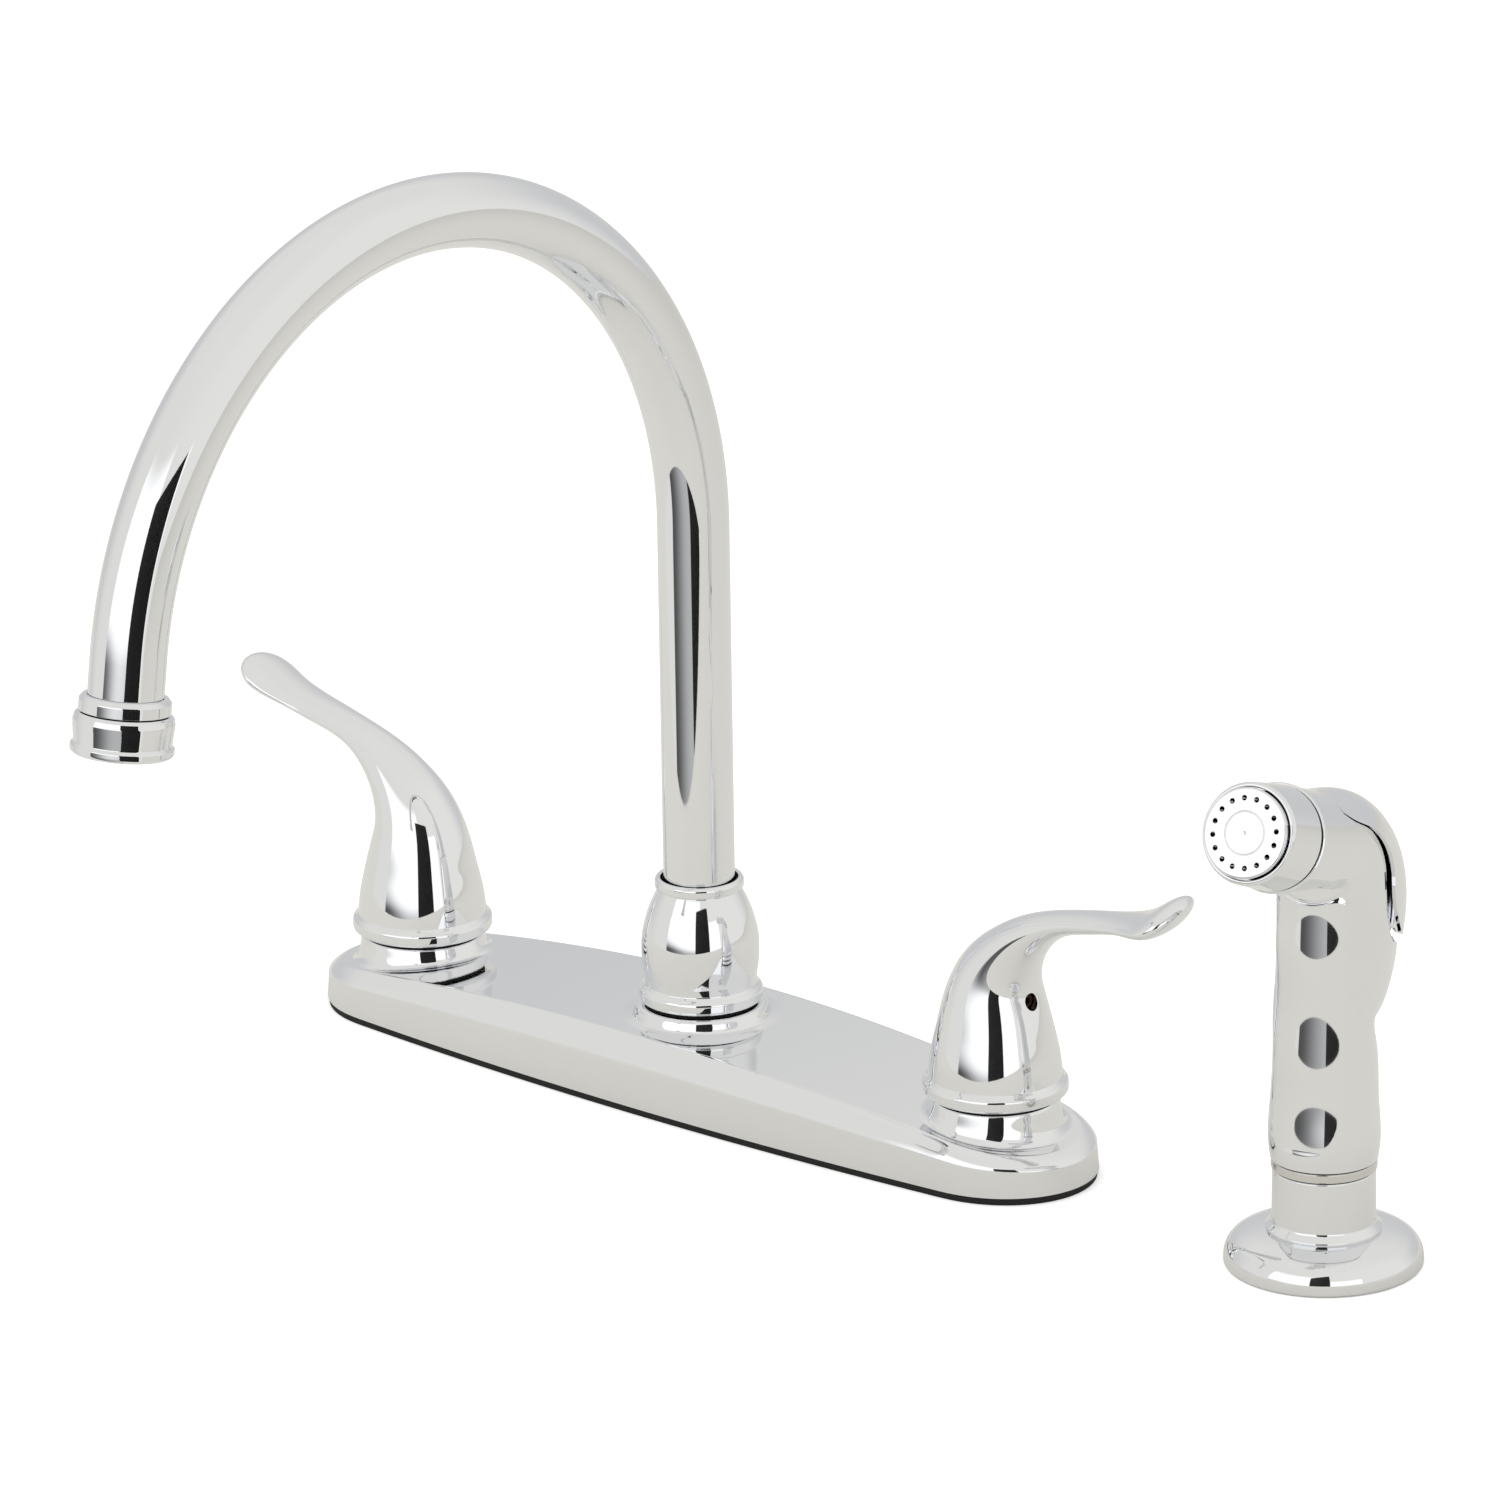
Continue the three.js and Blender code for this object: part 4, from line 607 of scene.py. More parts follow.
def plate_skin():
    """Plate's side, bevel and top as one sheet, thickened inwards to its wall."""
    side = np.linspace(0, 1, 8)
    turn = np.linspace(0, math.pi / 2, 30)[1:]
    over = (PLATE_BEVEL - PLATE_DRAFT) * (1 - np.cos(turn) ** BEVEL_POWER)
    inset = np.concatenate([PLATE_DRAFT * side, PLATE_DRAFT + over])
    share = np.concatenate([side, np.ones(len(turn))])
    bend = np.concatenate([0 * side, np.sin(turn) ** BEVEL_POWER])

    def height(x):
        """The side rises straight to the crease; the bevel bends over to the crown."""
        low, high = crease(x), crown(x)
        return PLATE_FOOT + share * (low - PLATE_FOOT) + bend * (high - low)

    shell = in_scene("cover", joined("cover", banded("bevel", inset, height), plate_top()))
    wall = shell.modifiers.new("wall", "SOLIDIFY")
    wall.thickness = PLATE_WALL * MM
    wall.offset = -1
    skin = evaluated(shell)
    bpy.data.objects.remove(shell)
    return skin


class FAUCET_OT_cover(bpy.types.Operator):
    """Makes the cover plate with its collars, the black rings on them that paint the shade of the
    gaps under the handles and hub, and the gasket below
    """

    bl_idname = "faucet.cover"
    bl_label = "Cover plate and gasket"

    def execute(self, context):
        valve, hub = (VALVE_WALL, VALVE_TOP, VALVE_BORE_R), (HUB_WALL, HUB_TOP_LEVEL, HUB_BORE_R)
        places = zip((-HOLE_PITCH, 0, HOLE_PITCH), (valve, hub, valve))
        collars = [plate_collar(x, *collar) for x, collar in places]
        plate = joined("cover_plate", plate_skin(), *collars)
        add_piece("cover_plate", plate, "chrome", "base", ["deck_plate"], 50)
        # Each black ring stands in the gap above a collar and paints the shade that falls there
        for name, x, low, high, outer, inner in GAP_SHADE_RINGS:
            corners = [[outer, low, 0], [outer, high, 0.2], [inner, high, 0], [inner, low, 0]]
            seal = ring("seal", corners, place_at(x))
            add_piece(f"{name}_rest_ring", seal, "black_rubber", "base")
        inset, level = rounded(GASKET_SECTION, 4)[:-1].T
        gasket = banded("cover_gasket", inset, lambda x: level + 0 * x, wrap_v=True)
        add_piece("cover_gasket", gasket, "black_rubber", "base", ["deck_gasket"])
        return {"FINISHED"}


# ---------- handles ----------
FINGERTIP = 10.5  # length over which the lever's tip is rounded
SCREW_HOLE_R, SCREW_HEIGHT, SCREW_HOLE_REACH = 2.25, 49.5, (6, 30)
# Bead round the bell's foot and the hollow under it: radius, height, rounding
HANDLE_FOOT = [
    [16, 27.2, 0], [17.6, 27.2, 0.3], [18.2, 26.4, 1.2], [19.1, 25.6, 2], [19.1, 22.8, 2],
    [17.8, 22.1, 0.8], [15.7, 22.1, 0.2], [15.7, 25.6, 0.5], [14.9, 33, 2], [13.4, 41, 0.5],
    [7.2, 41, 0.5], [7.2, 34, 0.5], [4.3, 34, 0.3], [4.3, 54.3, 0.3], [0.01, 54.3, 0],
]


def handle_mesh(side):
    """Bell and lever as one skin, with the bead round its foot, the hollow under it and the hole
    of its set screw."""
    lever = round_off(spline(HANDLE_SECTIONS, 260), FINGERTIP)
    skin = lofted(f"{side}_lever", lever, 112)
    across = place_at(z=SCREW_HEIGHT, turn=90, axis="Y")
    skin = boolean(skin, bar("screw_hole", SCREW_HOLE_R, *SCREW_HOLE_REACH, across))
    foot = turned(f"{side}_foot", rounded(HANDLE_FOOT, 6)[::-1], sides=112)
    return joined(f"{side}_handle_skin", skin, foot)


class FAUCET_OT_handles(bpy.types.Operator):
    """Makes the two lever handles"""

    bl_idname = "faucet.handles"
    bl_label = "Lever handles"

    def execute(self, context):
        for side, x, facing in (("hot", -HOLE_PITCH, 180), ("cold", HOLE_PITCH, 0)):
            mesh = handle_mesh(side)
            mesh.transform(place_at(x, turn=facing + HANDLE_TURN))
            body, solids = f"{side}_lever", [f"{side}_handle"]
            add_piece(f"{side}_lever_handle", mesh, "chrome", body, solids, 40)
        return {"FINISHED"}


# ---------- spout ----------
# Hub's outside from its bead up over the belly, and its top down through the bore
HUB_BEAD = [
    [13.9, 24.7, 0], [15.7, 24.7, 0.6], [16.55, 25.4, 1.6], [16.55, 28.1, 1.6], [15.4, 29, 0.6],
    [14.9, 29.6, 0.6], [15.0, 31.4, 0],
]
HUB_BELLY = [
    [15.0, 31.4], [15.55, 35], [15.75, 39.4], [15.55, 43], [14.8, 46.5], [13.75, 50], [12.5, 53],
    [11.3, 55.4],
]
HUB_TOP = [
    [11.3, 55.4, 0], [10.9, 56.1, 0.4], [11.9, 56.3, 0.9], [11.9, 58.4, 1.0], [11.2, 59.2, 0.9],
    [10.3, 59.1, 0.5], [10.3, 50.3, 0.2], [11.6, 50.3, 0.2], [12.1, 42.0, 0.4], [12.1, 24.7, 0.2],
    [13.9, 24.7, 0],
]
# Rings on the outlet, from its top down: radius, height, rounding
OUTLET_COLLAR = [
    [11.5, -4.1, 0.15], [11.5, -1.2, 0.8], [10.6, -0.2, 0.6], [9.75, 0, 0.1], [9.75, -0.4, 0],
    [8.4, -0.4, 0], [8.4, -4.1, 0],
]
AERATOR_RING = [
    [12.2, -11.9, 0.5], [12.62, -7.9, 3], [12.7, -6.4, 1.2], [12.3, -5.0, 0.8], [11.5, -4.4, 0.4],
    [9.4, -4.4, 0], [9.4, -13.5, 0], [8.4, -13.5, 0], [8.4, -14.9, 0.2], [12.0, -14.9, 0.8],
    [12.95, -14.2, 0.9], [12.95, -12.6, 0.7],
]


def arch_tube(name, radius, steps=200, sides=96):
    """Tube along the spout's line: straight up, round the arch and a little way down to the
    outlet. Its rings stand square to the line."""
    lean = math.radians(OUTLET_LEAN)
    turn = np.linspace(0, math.pi - lean, steps)
    arch = np.stack([ARCH_R * (np.cos(turn) - 1), ARCH_CENTRE_HEIGHT + ARCH_R * np.sin(turn)], -1)
    ahead = np.stack([-np.sin(turn), np.cos(turn)], -1)
    rise = np.linspace(ARCH_FOOT, ARCH_CENTRE_HEIGHT, 12)[:-1]
    fall = np.linspace(0, OUTLET_STRAIGHT, 4)[1:, None]
    line = np.vstack([np.stack([0 * rise, rise], -1), arch, arch[-1] + fall * ahead[-1]])
    ahead = np.vstack([np.tile([0, 1], (len(rise), 1)), ahead, np.tile(ahead[-1], (len(fall), 1))])
    angle = circle(sides)
    out = radius * np.sin(angle)
    x = radius * np.cos(angle) + 0 * line[:, 0]
    points = np.stack([x, line[:, 0] + out * ahead[:, 1], line[:, 1] - out * ahead[:, 0]], -1)
    return grid_mesh(name, points * MM, wrap_u=True, caps=(0, -1))


def outlet_place():
    """Frame of the spout's outlet: its top in the middle of the tube, leaning as the tube does."""
    lean = math.radians(OUTLET_LEAN)
    y = -ARCH_R * (1 + math.cos(lean)) - OUTLET_STRAIGHT * math.sin(lean)
    z = ARCH_CENTRE_HEIGHT + ARCH_R * math.sin(lean) - OUTLET_STRAIGHT * math.cos(lean)
    return place_at(0, y, z, -OUTLET_LEAN, "X")


class FAUCET_OT_spout(bpy.types.Operator):
    """Makes the hub, the arched tube, its collar and the aerator"""

    bl_idname = "faucet.spout"
    bl_label = "Gooseneck spout"

    def execute(self, context):
        bead, belly, top = rounded(HUB_BEAD), spline(HUB_BELLY, 60), rounded(HUB_TOP)
        hub = turned("hub", np.vstack([bead[:-1], belly[:-1], top])[:-1], closed=True)
        add_piece("spout_hub_nut", hub, "chrome", "base", ["spout_hub"], 50)
        tube = arch_tube("tube", context.scene.faucet.tube_radius / MM)
        add_piece("spout_arch_tube", tube, "chrome", "spout", ["spout_tube"], 60)
        outlet = outlet_place()
        collar = ring("collar", OUTLET_COLLAR, outlet)
        add_piece("outlet_collar", collar, "chrome", "spout", ["spout_collar"], 50)
        shell = ring("shell", AERATOR_RING, outlet)
        add_piece("aerator_ring", shell, "chrome", "spout", ["aerator_shell"], 50)
        return {"FINISHED"}


# ---------- spray ----------
# Fading of the grip's fingers: how far beyond their ends, and over what length
FADE_BELOW, FADE_ABOVE = (2, 3), (1, 4)
FINGER_SOFTNESS = 0.05  # how softly the finger wall and the grip run into each other
SLAB_BACK, SLAB_TOP, SLAB_HALF_WIDTH = -60, 150, 40  # the plate that cuts the trigger's outline
TRIGGER_SWEEP = (0.2, 0.4, 0.6, 0.8, 1)  # shares of the travel at which its room is cut
SPRAY_BORE_R, SPRAY_BORE_ENDS = 6.3, (20, 37.8)  # the hole for the hose's coupling
# Rings of the nozzle: radius, distance out from its joint, rounding
NOZZLE_LIP = [
    [13.4, -2.2, 0.3], [13.9, -1.5, 0.5], [13.9, -0.35, 0.4], [13.5, 0, 0.3], [9.3, 0, 0],
    [9.3, -2.2, 0],
]
NOZZLE_SEAL = [[13.25, 0.02, 0.1], [13.25, 0.53, 0.1], [9.3, 0.53, 0], [9.3, 0.02, 0]]
NOZZLE_BEZEL = [
    [13.4, 0.55, 0.3], [12.85, 13.7, 1.0], [12.3, 14.6, 0.8], [11.75, 14.6, 0.3], [11.5, 14.2, 0.2],
    [11.5, 6.6, 0], [9.3, 6.6, 0], [9.3, 0.55, 0],
]
# Nozzle's face, from the middle of its back round its rim to the middle of its front
NOZZLE_FACE = [
    [0.01, 14.4, 0], [9.6, 14.4, 0], [9.6, 6.9, 0], [11.2, 6.9, 0], [11.35, 16.2, 0.5],
    [5.55, 16.2, 0.1], [5.45, 16.02, 0.08], [5.3, 16.02, 0.08], [5.2, 16.2, 0.1], [0.45, 16.2, 0.1],
    [0.01, 16.05, 0],
]
FACE_HOLE_ENDS = (14, 17)


def sleeve(name, rows, count, sides, grow=(0, 0), shape=None):
    """Skin over untwisted sections, moved out by `grow` in depth and in width."""
    rows = [[u, z, a + grow[0], b + grow[1], 0] for u, z, a, b in rows]
    return lofted(name, spline(rows, count), sides, shape)


def finger_front(z):
    """Reach of the grip's front at a height. Going up, the front leans by a tilt that falls evenly
    from one end of the grip to the other, with a half sine more inside each finger's hollow and
    one less between the hollows; the reach is that tilt summed over the height."""
    steps = np.linspace(FINGER_EDGES[0], FINGER_EDGES[-1], 800)
    tilt = np.interp(steps, FINGER_EDGES[[0, -1]], FINGER_TILT)
    for low, high, swing in zip(FINGER_EDGES, FINGER_EDGES[1:], FINGER_SWING):
        inside = (steps >= low) & (steps < high)
        tilt += inside * swing * np.sin(math.pi * (steps - low) / (high - low))
    lean = np.cumsum(np.tan(np.radians(tilt[1:])) * np.diff(steps))
    return np.interp(z, steps, FINGER_FOOT_REACH - np.concatenate([[0], lean]))


def finger_waves(points):
    """Moves the grip's front back to a wall with a hollow for each finger. The wall is an arc
    flatter than the grip; where it meets the grip the two are eased into each other."""
    rows = spline(SPRAY_SECTIONS, 400)
    z = points[..., 2]
    depth = np.interp(z, rows[:, 1], rows[:, 0] + rows[:, 2]) - finger_front(z)
    fade = np.clip((z - FINGER_EDGES[0] + FADE_BELOW[0]) / FADE_BELOW[1], 0, 1)
    fade = fade * np.clip((FINGER_EDGES[-1] + FADE_ABOVE[0] - z) / FADE_ABOVE[1], 0, 1)
    radius = finger_front(z) - FINGER_CENTRE
    wall = np.sqrt(np.maximum(radius**2 - points[..., 1] ** 2, 0))
    over = points[..., 0] - FINGER_CENTRE - wall
    moved = points.copy()
    eased = fade * (over + np.sqrt(over**2 + FINGER_SOFTNESS**2)) / 2
    moved[..., 0] -= np.where(depth > 0, eased, 0)
    return moved


def about_pivot(mesh, degrees):
    """The mesh swung about the trigger's pivot: its lower end goes into the spray."""
    x, z = TRIGGER_PIVOT
    swung = mesh.copy()
    swung.transform(place_at(x, z=z, turn=-degrees, axis="Y") @ place_at(-x, z=-z))
    return swung


def trigger_slab(gap):
    """Plate with the trigger's outline, moved out by a gap square to its front edge."""
    edge = spline(TRIGGER_EDGE, 60)
    step = unit(np.gradient(edge, axis=0))
    edge = edge + gap * np.stack([-step[:, 1], step[:, 0]], -1)
    back = [[SLAB_BACK, edge[-1, 1]], [SLAB_BACK, SLAB_TOP], [edge[0, 0], SLAB_TOP]]
    return slab("trigger_slab", np.vstack([edge, back]), SLAB_HALF_WIDTH)


def spray_body_mesh():
    """Grip and head in one skin, with the finger waves, the pocket that the trigger sweeps through
    and the bore of the coupling."""
    skin = sleeve("spray_skin", SPRAY_SECTIONS, 420, 144, shape=finger_waves)
    room = sleeve("trigger_room", TRIGGER_SECTIONS, 160, 112, (GAP, GAP))
    room = boolean(room, trigger_slab(GAP), "INTERSECT")
    inside = sleeve("inside", TRIGGER_SECTIONS, 90, 64, [-wall - GAP for wall in TRIGGER_WALL])
    core = boolean(inside, about_pivot(inside, TRIGGER_TRAVEL), "INTERSECT")
    pocket = room
    for share in TRIGGER_SWEEP:
        pocket = boolean(pocket, about_pivot(room, share * TRIGGER_TRAVEL), "UNION")
    skin = boolean(skin, boolean(pocket, core))
    return boolean(skin, bar("bore", SPRAY_BORE_R, *SPRAY_BORE_ENDS))


def trigger_mesh():
    """Curved skin over the spray's back and crown, cut to its outline and hollowed to its wall."""
    outer = sleeve("trigger_outer", TRIGGER_SECTIONS, 220, 144)
    inner = sleeve("trigger_inner", TRIGGER_SECTIONS, 120, 96, [-wall for wall in TRIGGER_WALL])
    return boolean(boolean(outer, trigger_slab(0), "INTERSECT"), inner)


def face_mesh():
    """Disc in the nozzle's end with a fine groove and a ring of spray holes."""
    face = turned("face", rounded(NOZZLE_FACE, 6), caps=(0, -1))
    for angle in (np.arange(FACE_HOLES) + 0.5) * 2 * math.pi / FACE_HOLES:
        x, y = FACE_HOLE_RING_R * math.cos(angle), FACE_HOLE_RING_R * math.sin(angle)
        hole = bar("hole", FACE_HOLE_R, *FACE_HOLE_ENDS, place_at(x, y), 20)
        face = boolean(face, hole)
    return face


class FAUCET_OT_spray(bpy.types.Operator):
    """Makes the hand spray: body, nozzle, face and trigger"""

    bl_idname = "faucet.spray"
    bl_label = "Hand spray"

    def execute(self, context):
        # The spray's frame is forward along X; the nozzle's Z runs out from its joint
        place = place_at(SPRAY_X, SPRAY_Y, turn=SPRAY_TURN - 90)
        nozzle = place @ place_at(NOZZLE_REACH, z=NOZZLE_HEIGHT, turn=90 - NOZZLE_TILT, axis="Y")
        body = spray_body_mesh()
        body.transform(place)
        grip = joined("spray_grip", body, ring("lip", NOZZLE_LIP, nozzle))
        add_piece("spray_grip", grip, "chrome", "spray", ["spray_body"], 35)
        bezel = ring("bezel", NOZZLE_BEZEL, nozzle)
        add_piece("nozzle_bezel", bezel, "chrome", "spray", ["spray_bezel"], 50)
        add_piece("nozzle_joint_seal", ring("seal", NOZZLE_SEAL, nozzle), "black_rubber", "spray")
        face = face_mesh()
        face.transform(nozzle)
        add_piece("nozzle_face", face, "chrome", "spray", ["spray_face"], 40)
        trigger = trigger_mesh()
        trigger.transform(place)
        add_piece("thumb_trigger", trigger, "chrome", "spray_trigger", ["trigger"], 35)
        return {"FINISHED"}


# ---------- holder ----------
# Holder's rim from below, the dome of its foot, and its neck up and down through its bore
HOLDER_RIM = [[20, 0, 0], [24.9, 0, 0.5], [25.4, 0.7, 0.8], [25.4, 1.7, 0]]
HOLDER_DOME = [
    [25.4, 1.7], [25.3, 3.0], [24.7, 4.9], [23.1, 6.9], [20.4, 8.25], [17, 9.1], [14.4, 9.5],
]
HOLDER_NECK = [
    [14.4, 9.5, 0], [14.6, 9.7, 0.1], [15.0, 10.3, 0.4], [13.25, 12.0, 1.2], [13.15, 25.5, 0.3],
    [12.9, 25.8, 0.3], [10.6, 25.8, 0.3], [10.6, -32, 0.3], [12.7, -32, 0.5], [12.7, 0, 0],
    [20, 0, 0],
]
COUPLING = [
    [7.6, -7.9, 0.4], [9.6, 20.1, 1], [9.6, 26.1, 0.1], [13.3, 26.1, 0.3], [13.5, 26.4, 0.2],
    [13.5, 28.3, 0.3], [13.2, 28.5, 0.2], [6, 28.5, 0.2], [6, 33.5, 0.1], [4.8, 33.5, 0.1],
    [4.8, 37.5, 0.2], [3, 37.5, 0.2], [3, -7.9, 0.2],
]


class FAUCET_OT_holder(bpy.types.Operator):
    """Makes the round-footed holder and the hose's coupling that the spray stands on"""

    bl_idname = "faucet.holder"
    bl_label = "Spray holder"

    def execute(self, context):
        place = place_at(SPRAY_X, SPRAY_Y)
        rim, dome = rounded(HOLDER_RIM, 6), spline(HOLDER_DOME, 50)
        profile = np.vstack([rim[:-1], dome[:-1], rounded(HOLDER_NECK, 6)])[:-1]
        holder = turned("holder", profile, place, closed=True)
        add_piece("holder_foot", holder, "chrome", "base", ["spray_holder"], 50)
        coupling = ring("coupling", COUPLING, place)
        add_piece("hose_coupling", coupling, "satin_chrome", "hose_end", ["spray_coupling"], 40)
        return {"FINISHED"}


# ---------- solids ----------
class FAUCET_OT_solids(bpy.types.Operator):
    """Gives the solids that stay in view their finishes"""

    bl_idname = "faucet.solids"
    bl_label = "Inner pieces"

    def execute(self, context):
        slots = {part["node"]: part["material_slot"] for part in frame["record"]["subparts"]}
        for name, node in frame["nodes"].items():
            for slot in node.material_slots:
                slot.material = finish(slots[name])
        return {"FINISHED"}


# ---------- stage ----------
CAMERA_HEADING = -48.41  # degrees from +X round to the camera
CAMERA_PLACE = (1.46113, -1.645112, 0.826271)
CAMERA_RIGHT = (0.7549091, 0.6556766, -0.0141583)
CAMERA_UP = (-0.1969717, 0.2472681, 0.9487153)
CAMERA_LENS, CAMERA_SENSOR = 210.55, 36
FLOOR_REACH, FLOOR_GLOW = 12.0, 0.42
LAMP_PLACE, LAMP_SIZE = (-0.3, -0.4, 1.6), 1.4
# Upright edges of the black card: ahead of the spout, to the right, foot and top
BLACK_CARD = [(1.1, -0.186, (-0.5, 0.72)), (0.55, 0.18, (-0.35, 0.42))]


def grey(value, tint=(1, 1, 1)):
    """RGBA of a grey, tinted."""
    return (*(value * channel for channel in tint), 1.0)


# The tent as mirrors show it. Headings are degrees to the camera's right and climbs are degrees
# above the level; each pair is where one shade ends and the next is full.
WARM, COOL = (1.0, 0.989, 0.95), (0.985, 0.99, 1.0)
SIDE_HEADINGS, SIDE_LEFT, SIDE_RIGHT = (-60.0, 60.0), grey(0.82, WARM), grey(0.87, WARM)
BACK_HEADINGS = (95.0, 140.0)
BACK_CLIMBS, BACK_LOW, BACK_HIGH = (10.0, 40.0), grey(0.65, COOL), grey(0.82, WARM)
ROOF_CLIMBS, ROOF = (45.0, 75.0), grey(0.84, WARM)
# White panels right and left of the camera, and how softly their edges end
PANEL = grey(1.2)
RIGHT_HEADINGS, RIGHT_CLIMBS, RIGHT_SOFTNESS = (0.0, 40.5), (-40.0, 21.0), 1.0
LEFT_HEADINGS, LEFT_TOP_CLIMBS, LEFT_SOFTNESS = (-69.0, 1.0), (34.0, 44.0), 1.2
# The left one is dark at its foot, which is lighter and lower towards its right end
FOOT_HEADINGS, FOOT_CLIMBS, FOOT_DROP = (-67.0, -16.0), (-6.0, 7.0), 5.0
FOOT_LEFT, FOOT_RIGHT = grey(0.09), grey(0.5)
MATT_LIGHT, EYE_WHITE = grey(0.8), grey(1.0)  # what matt surfaces and the eye see of it


class FAUCET_OT_stage(bpy.types.Operator):
    """Lays the pale floor and sets the black card, the soft studio light and the camera"""

    bl_idname = "faucet.stage"
    bl_label = "Studio"

    def execute(self, context):
        self.lay_floor(context)
        self.set_card(context)
        self.set_tent(context)
        self.set_lamp(context)
        self.set_camera(context)
        context.scene.view_settings.view_transform = "Standard"
        return {"FINISHED"}

    def lay_floor(self, context):
        """Level floor out to its reach on every side."""
        ends = (-FLOOR_REACH, FLOOR_REACH)
        corners = np.array([[[x, y, 0] for y in ends] for x in ends])
        floor = in_scene("floor", grid_mesh("floor", corners))
        floor.data.materials.append(self.paper(context.scene.studio))

    def paper(self, settings):
        """White paper on a table whose edge runs along the faucet, in front of it: mirrors see past
        the edge, and see the paper a little warmer and darker. For the eye it glows a little, to
        stay white in soft light."""
        material, tree, output = new_material("Matt white paper")
        light_path = add_node(tree, "ShaderNodeLightPath")
        mirrored, seen = (light_path, "Is Glossy Ray"), (light_path, "Is Camera Ray")
        place = add_node(tree, "ShaderNodeTexCoord")
        parts = add_node(tree, "ShaderNodeSeparateXYZ", {0: (place, "Object")})
        past = calculate(tree, "LESS_THAN", (parts, "Y"), -settings.table_edge)
        gone = calculate(tree, "MULTIPLY", past, mirrored)
        strength = calculate(tree, "MULTIPLY", seen, FLOOR_GLOW)
        glow = add_node(tree, "ShaderNodeEmission", {"Strength": strength}, {"Color": EYE_WHITE})
        tint = blend(tree, mirrored, settings.floor_colour, settings.mirrored_colour)
        sheet = add_node(tree, "ShaderNodeBsdfDiffuse", {"Color": tint})
        mixed = add_node(tree, "ShaderNodeAddShader", {0: (sheet, 0), 1: (glow, 0)})
        clear = add_node(tree, "ShaderNodeBsdfTransparent")
        whole = add_node(tree, "ShaderNodeMixShader", {0: gone, 1: (mixed, 0), 2: (clear, 0)})
        tree.links.new(whole.outputs[0], output.inputs["Surface"])
        return material

    def set_card(self, context):
        """Black card that stands aslant in front of the faucet, which only mirrors see: it gives
        the chrome its dark core."""
        heading = math.radians(CAMERA_HEADING)
        ahead = np.array([math.cos(heading), math.sin(heading), 0])
        aside = np.array([-math.sin(heading), math.cos(heading), 0])
        corners = [
            [reach * ahead + side * aside + [0, 0, z] for z in heights]
            for reach, side, heights in BLACK_CARD
        ]
        card = in_scene("black_card", grid_mesh("black_card", np.array(corners)))
        card.data.materials.append(finish("card"))
        card.visible_camera = card.visible_diffuse = card.visible_shadow = False

    def set_tent(self, context):
        """A pale tent all round, and what mirrors show of it: walls a little lighter to the right
        and cooler low down behind, a white panel to the right of the camera, and one to its left
        that fades from dark below to white above. The eye sees plain white."""
        world = bpy.data.worlds.new("Light tent")
        context.scene.world = world
        world.use_nodes = True
        tree = world.node_tree
        tree.nodes.clear()
        place = add_node(tree, "ShaderNodeTexCoord")
        towards = {"Rotation": (0, 0, -math.radians(CAMERA_HEADING))}
        facing = add_node(tree, "ShaderNodeMapping", {"Vector": (place, "Generated")}, towards)
        parts = add_node(tree, "ShaderNodeSeparateXYZ", {0: (facing, 0)})
        heading = calculate(tree, "ARCTAN2", (parts, "Y"), (parts, "X"))
        heading = calculate(tree, "DEGREES", heading)
        climb = calculate(tree, "DEGREES", calculate(tree, "ARCSINE", (parts, "Z")))

        sides = blend(tree, ramp(tree, heading, *SIDE_HEADINGS), SIDE_LEFT, SIDE_RIGHT)
        back = blend(tree, ramp(tree, climb, *BACK_CLIMBS), BACK_LOW, BACK_HIGH)
        behind = ramp(tree, calculate(tree, "ABSOLUTE", heading), *BACK_HEADINGS)
        walls = blend(tree, behind, sides, back)
        tent = blend(tree, ramp(tree, climb, *ROOF_CLIMBS), walls, ROOF)

        right = band(tree, heading, RIGHT_HEADINGS, RIGHT_SOFTNESS)
        right = calculate(tree, "MULTIPLY", right, band(tree, climb, RIGHT_CLIMBS, RIGHT_SOFTNESS))
        tent = blend(tree, right, tent, PANEL)

        along = ramp(tree, heading, *FOOT_HEADINGS)
        foot = blend(tree, along, FOOT_LEFT, FOOT_RIGHT)
        raised = calculate(tree, "ADD", climb, calculate(tree, "MULTIPLY", along, FOOT_DROP))
        panel = blend(tree, ramp(tree, raised, *FOOT_CLIMBS), foot, PANEL)
        left = band(tree, heading, LEFT_HEADINGS, LEFT_SOFTNESS)
        left = calculate(tree, "MULTIPLY", left, ramp(tree, climb, *LEFT_TOP_CLIMBS, 1.0, 0.0))
        tent = blend(tree, left, tent, panel)

        light_path = add_node(tree, "ShaderNodeLightPath")
        shown = blend(tree, (light_path, "Is Glossy Ray"), MATT_LIGHT, tent)
        shown = blend(tree, (light_path, "Is Camera Ray"), shown, EYE_WHITE)
        sky = add_node(tree, "ShaderNodeBackground", {"Color": shown})
        add_node(tree, "ShaderNodeOutputWorld", {"Surface": (sky, 0)})

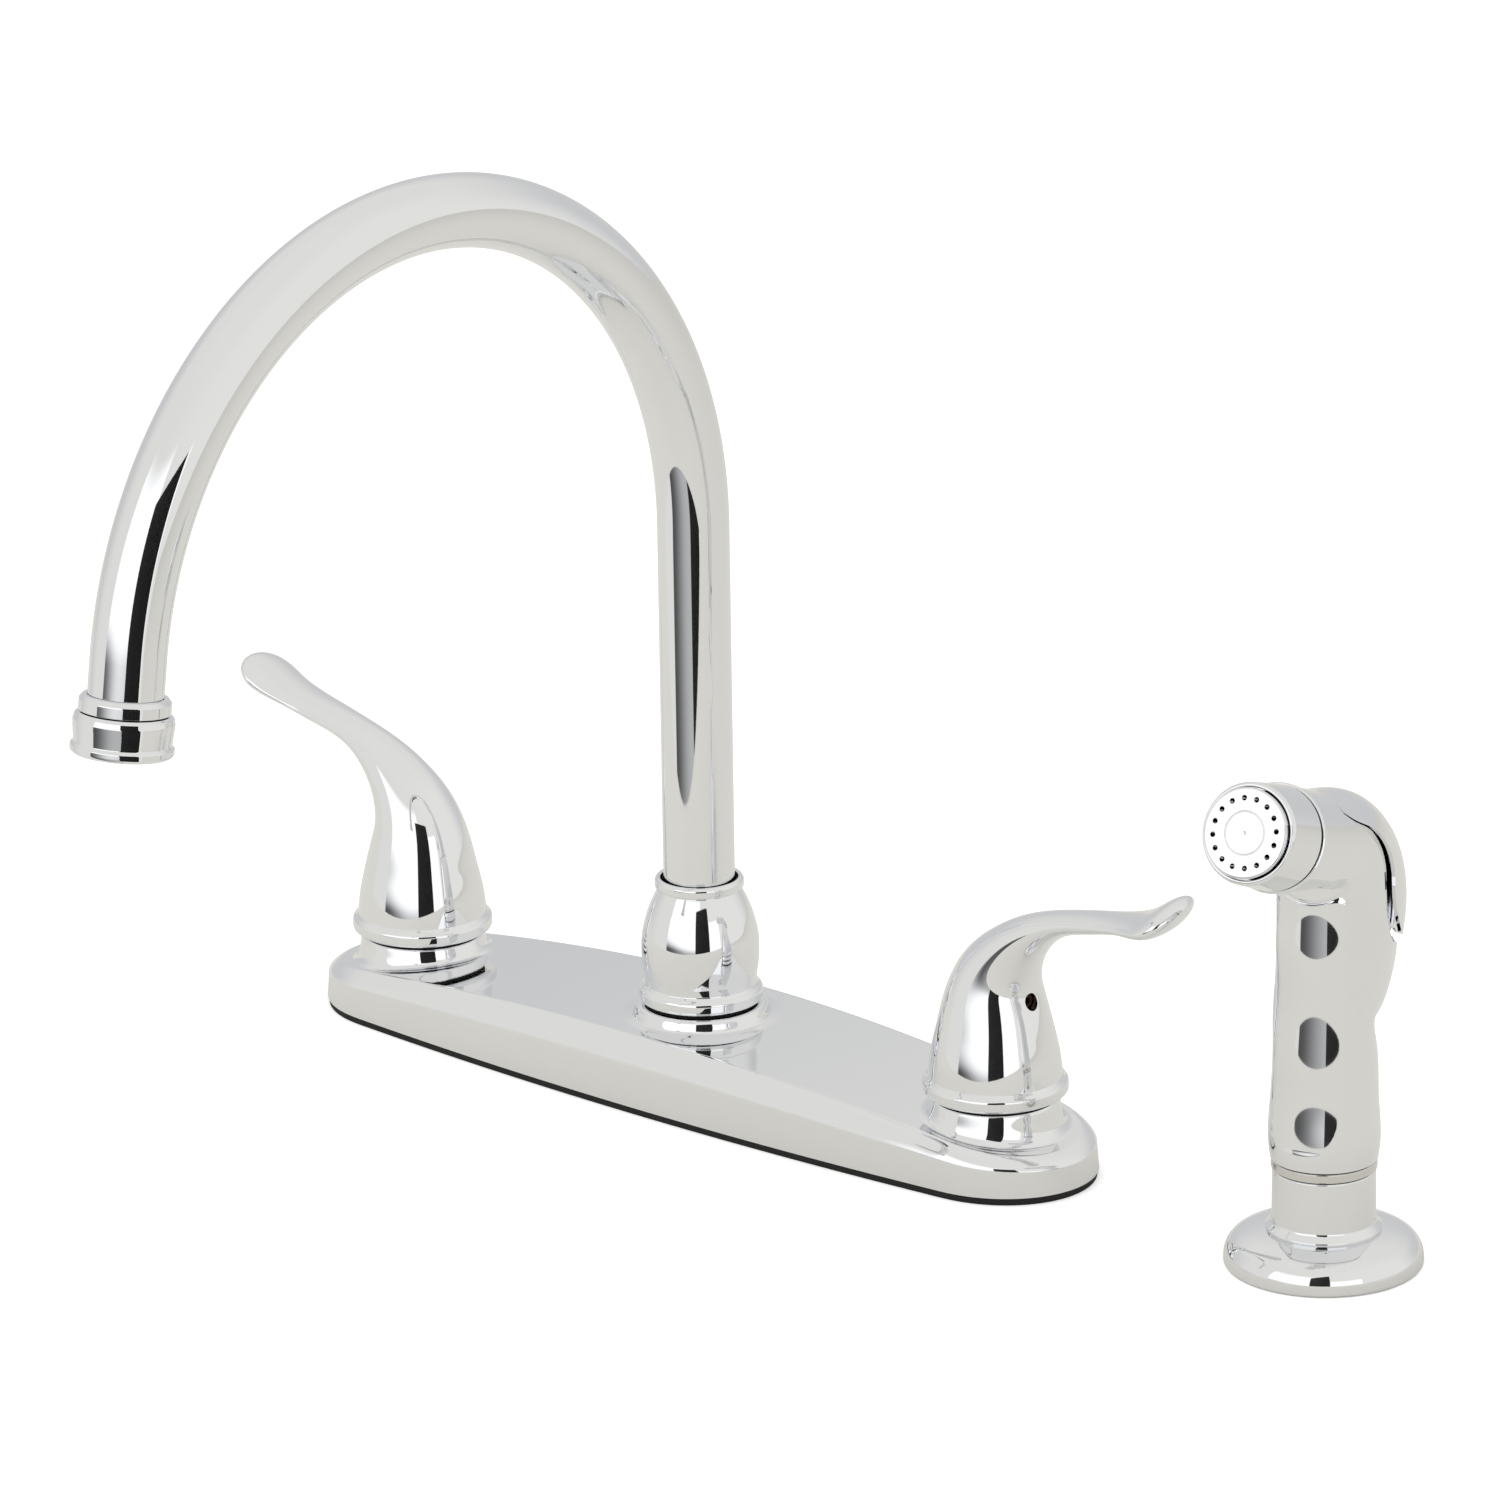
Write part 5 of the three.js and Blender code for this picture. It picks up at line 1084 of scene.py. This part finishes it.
    def set_lamp(self, context):
        """Soft round lamp above and a little in front, which mirrors don't see."""
        lamp = bpy.data.lights.new("overhead", "AREA")
        lamp.shape = "DISK"
        lamp.size = LAMP_SIZE
        lamp.energy = context.scene.studio.lamp_power
        holder = in_scene("overhead", lamp)
        holder.location = LAMP_PLACE
        holder.rotation_euler = (-Vector(LAMP_PLACE)).to_track_quat("-Z", "Y").to_euler()
        holder.visible_glossy = False

    def set_camera(self, context):
        """The photograph's view, from 2.3 m away through a long lens."""
        camera = bpy.data.cameras.new("camera")
        camera.sensor_width = CAMERA_SENSOR
        camera.lens = CAMERA_LENS
        holder = in_scene("camera", camera)
        right, up = Vector(CAMERA_RIGHT), Vector(CAMERA_UP)
        turn = Matrix((right, up, right.cross(up))).transposed()
        holder.matrix_world = Matrix.Translation(CAMERA_PLACE) @ turn.to_4x4()
        context.scene.camera = holder


class FAUCET_PT_panel(bpy.types.Panel):
    """Lists the faucet's operators"""

    bl_idname = "FAUCET_PT_panel"
    bl_label = "Kitchen faucet"
    bl_space_type = "VIEW_3D"
    bl_region_type = "UI"
    bl_category = "Faucet"

    def draw(self, context):
        for operator in OPERATORS:
            self.layout.operator(operator.bl_idname)


OPERATORS = (
    FAUCET_OT_stage, FAUCET_OT_solids, FAUCET_OT_cover, FAUCET_OT_handles,
    FAUCET_OT_spout, FAUCET_OT_holder, FAUCET_OT_spray,
)
CLASSES = (StudioSettings, FaucetSettings, *OPERATORS, FAUCET_PT_panel)


def register():
    for item in CLASSES:
        bpy.utils.register_class(item)
    bpy.types.Scene.studio = bpy.props.PointerProperty(type=StudioSettings)
    bpy.types.Scene.faucet = bpy.props.PointerProperty(type=FaucetSettings)


def unregister():
    del bpy.types.Scene.faucet
    del bpy.types.Scene.studio
    for item in reversed(CLASSES):
        bpy.utils.unregister_class(item)


def main():
    register()
    for operator in OPERATORS:
        group, name = operator.bl_idname.split(".")
        getattr(getattr(bpy.ops, group), name)()


if __name__ == "__main__":
    main()
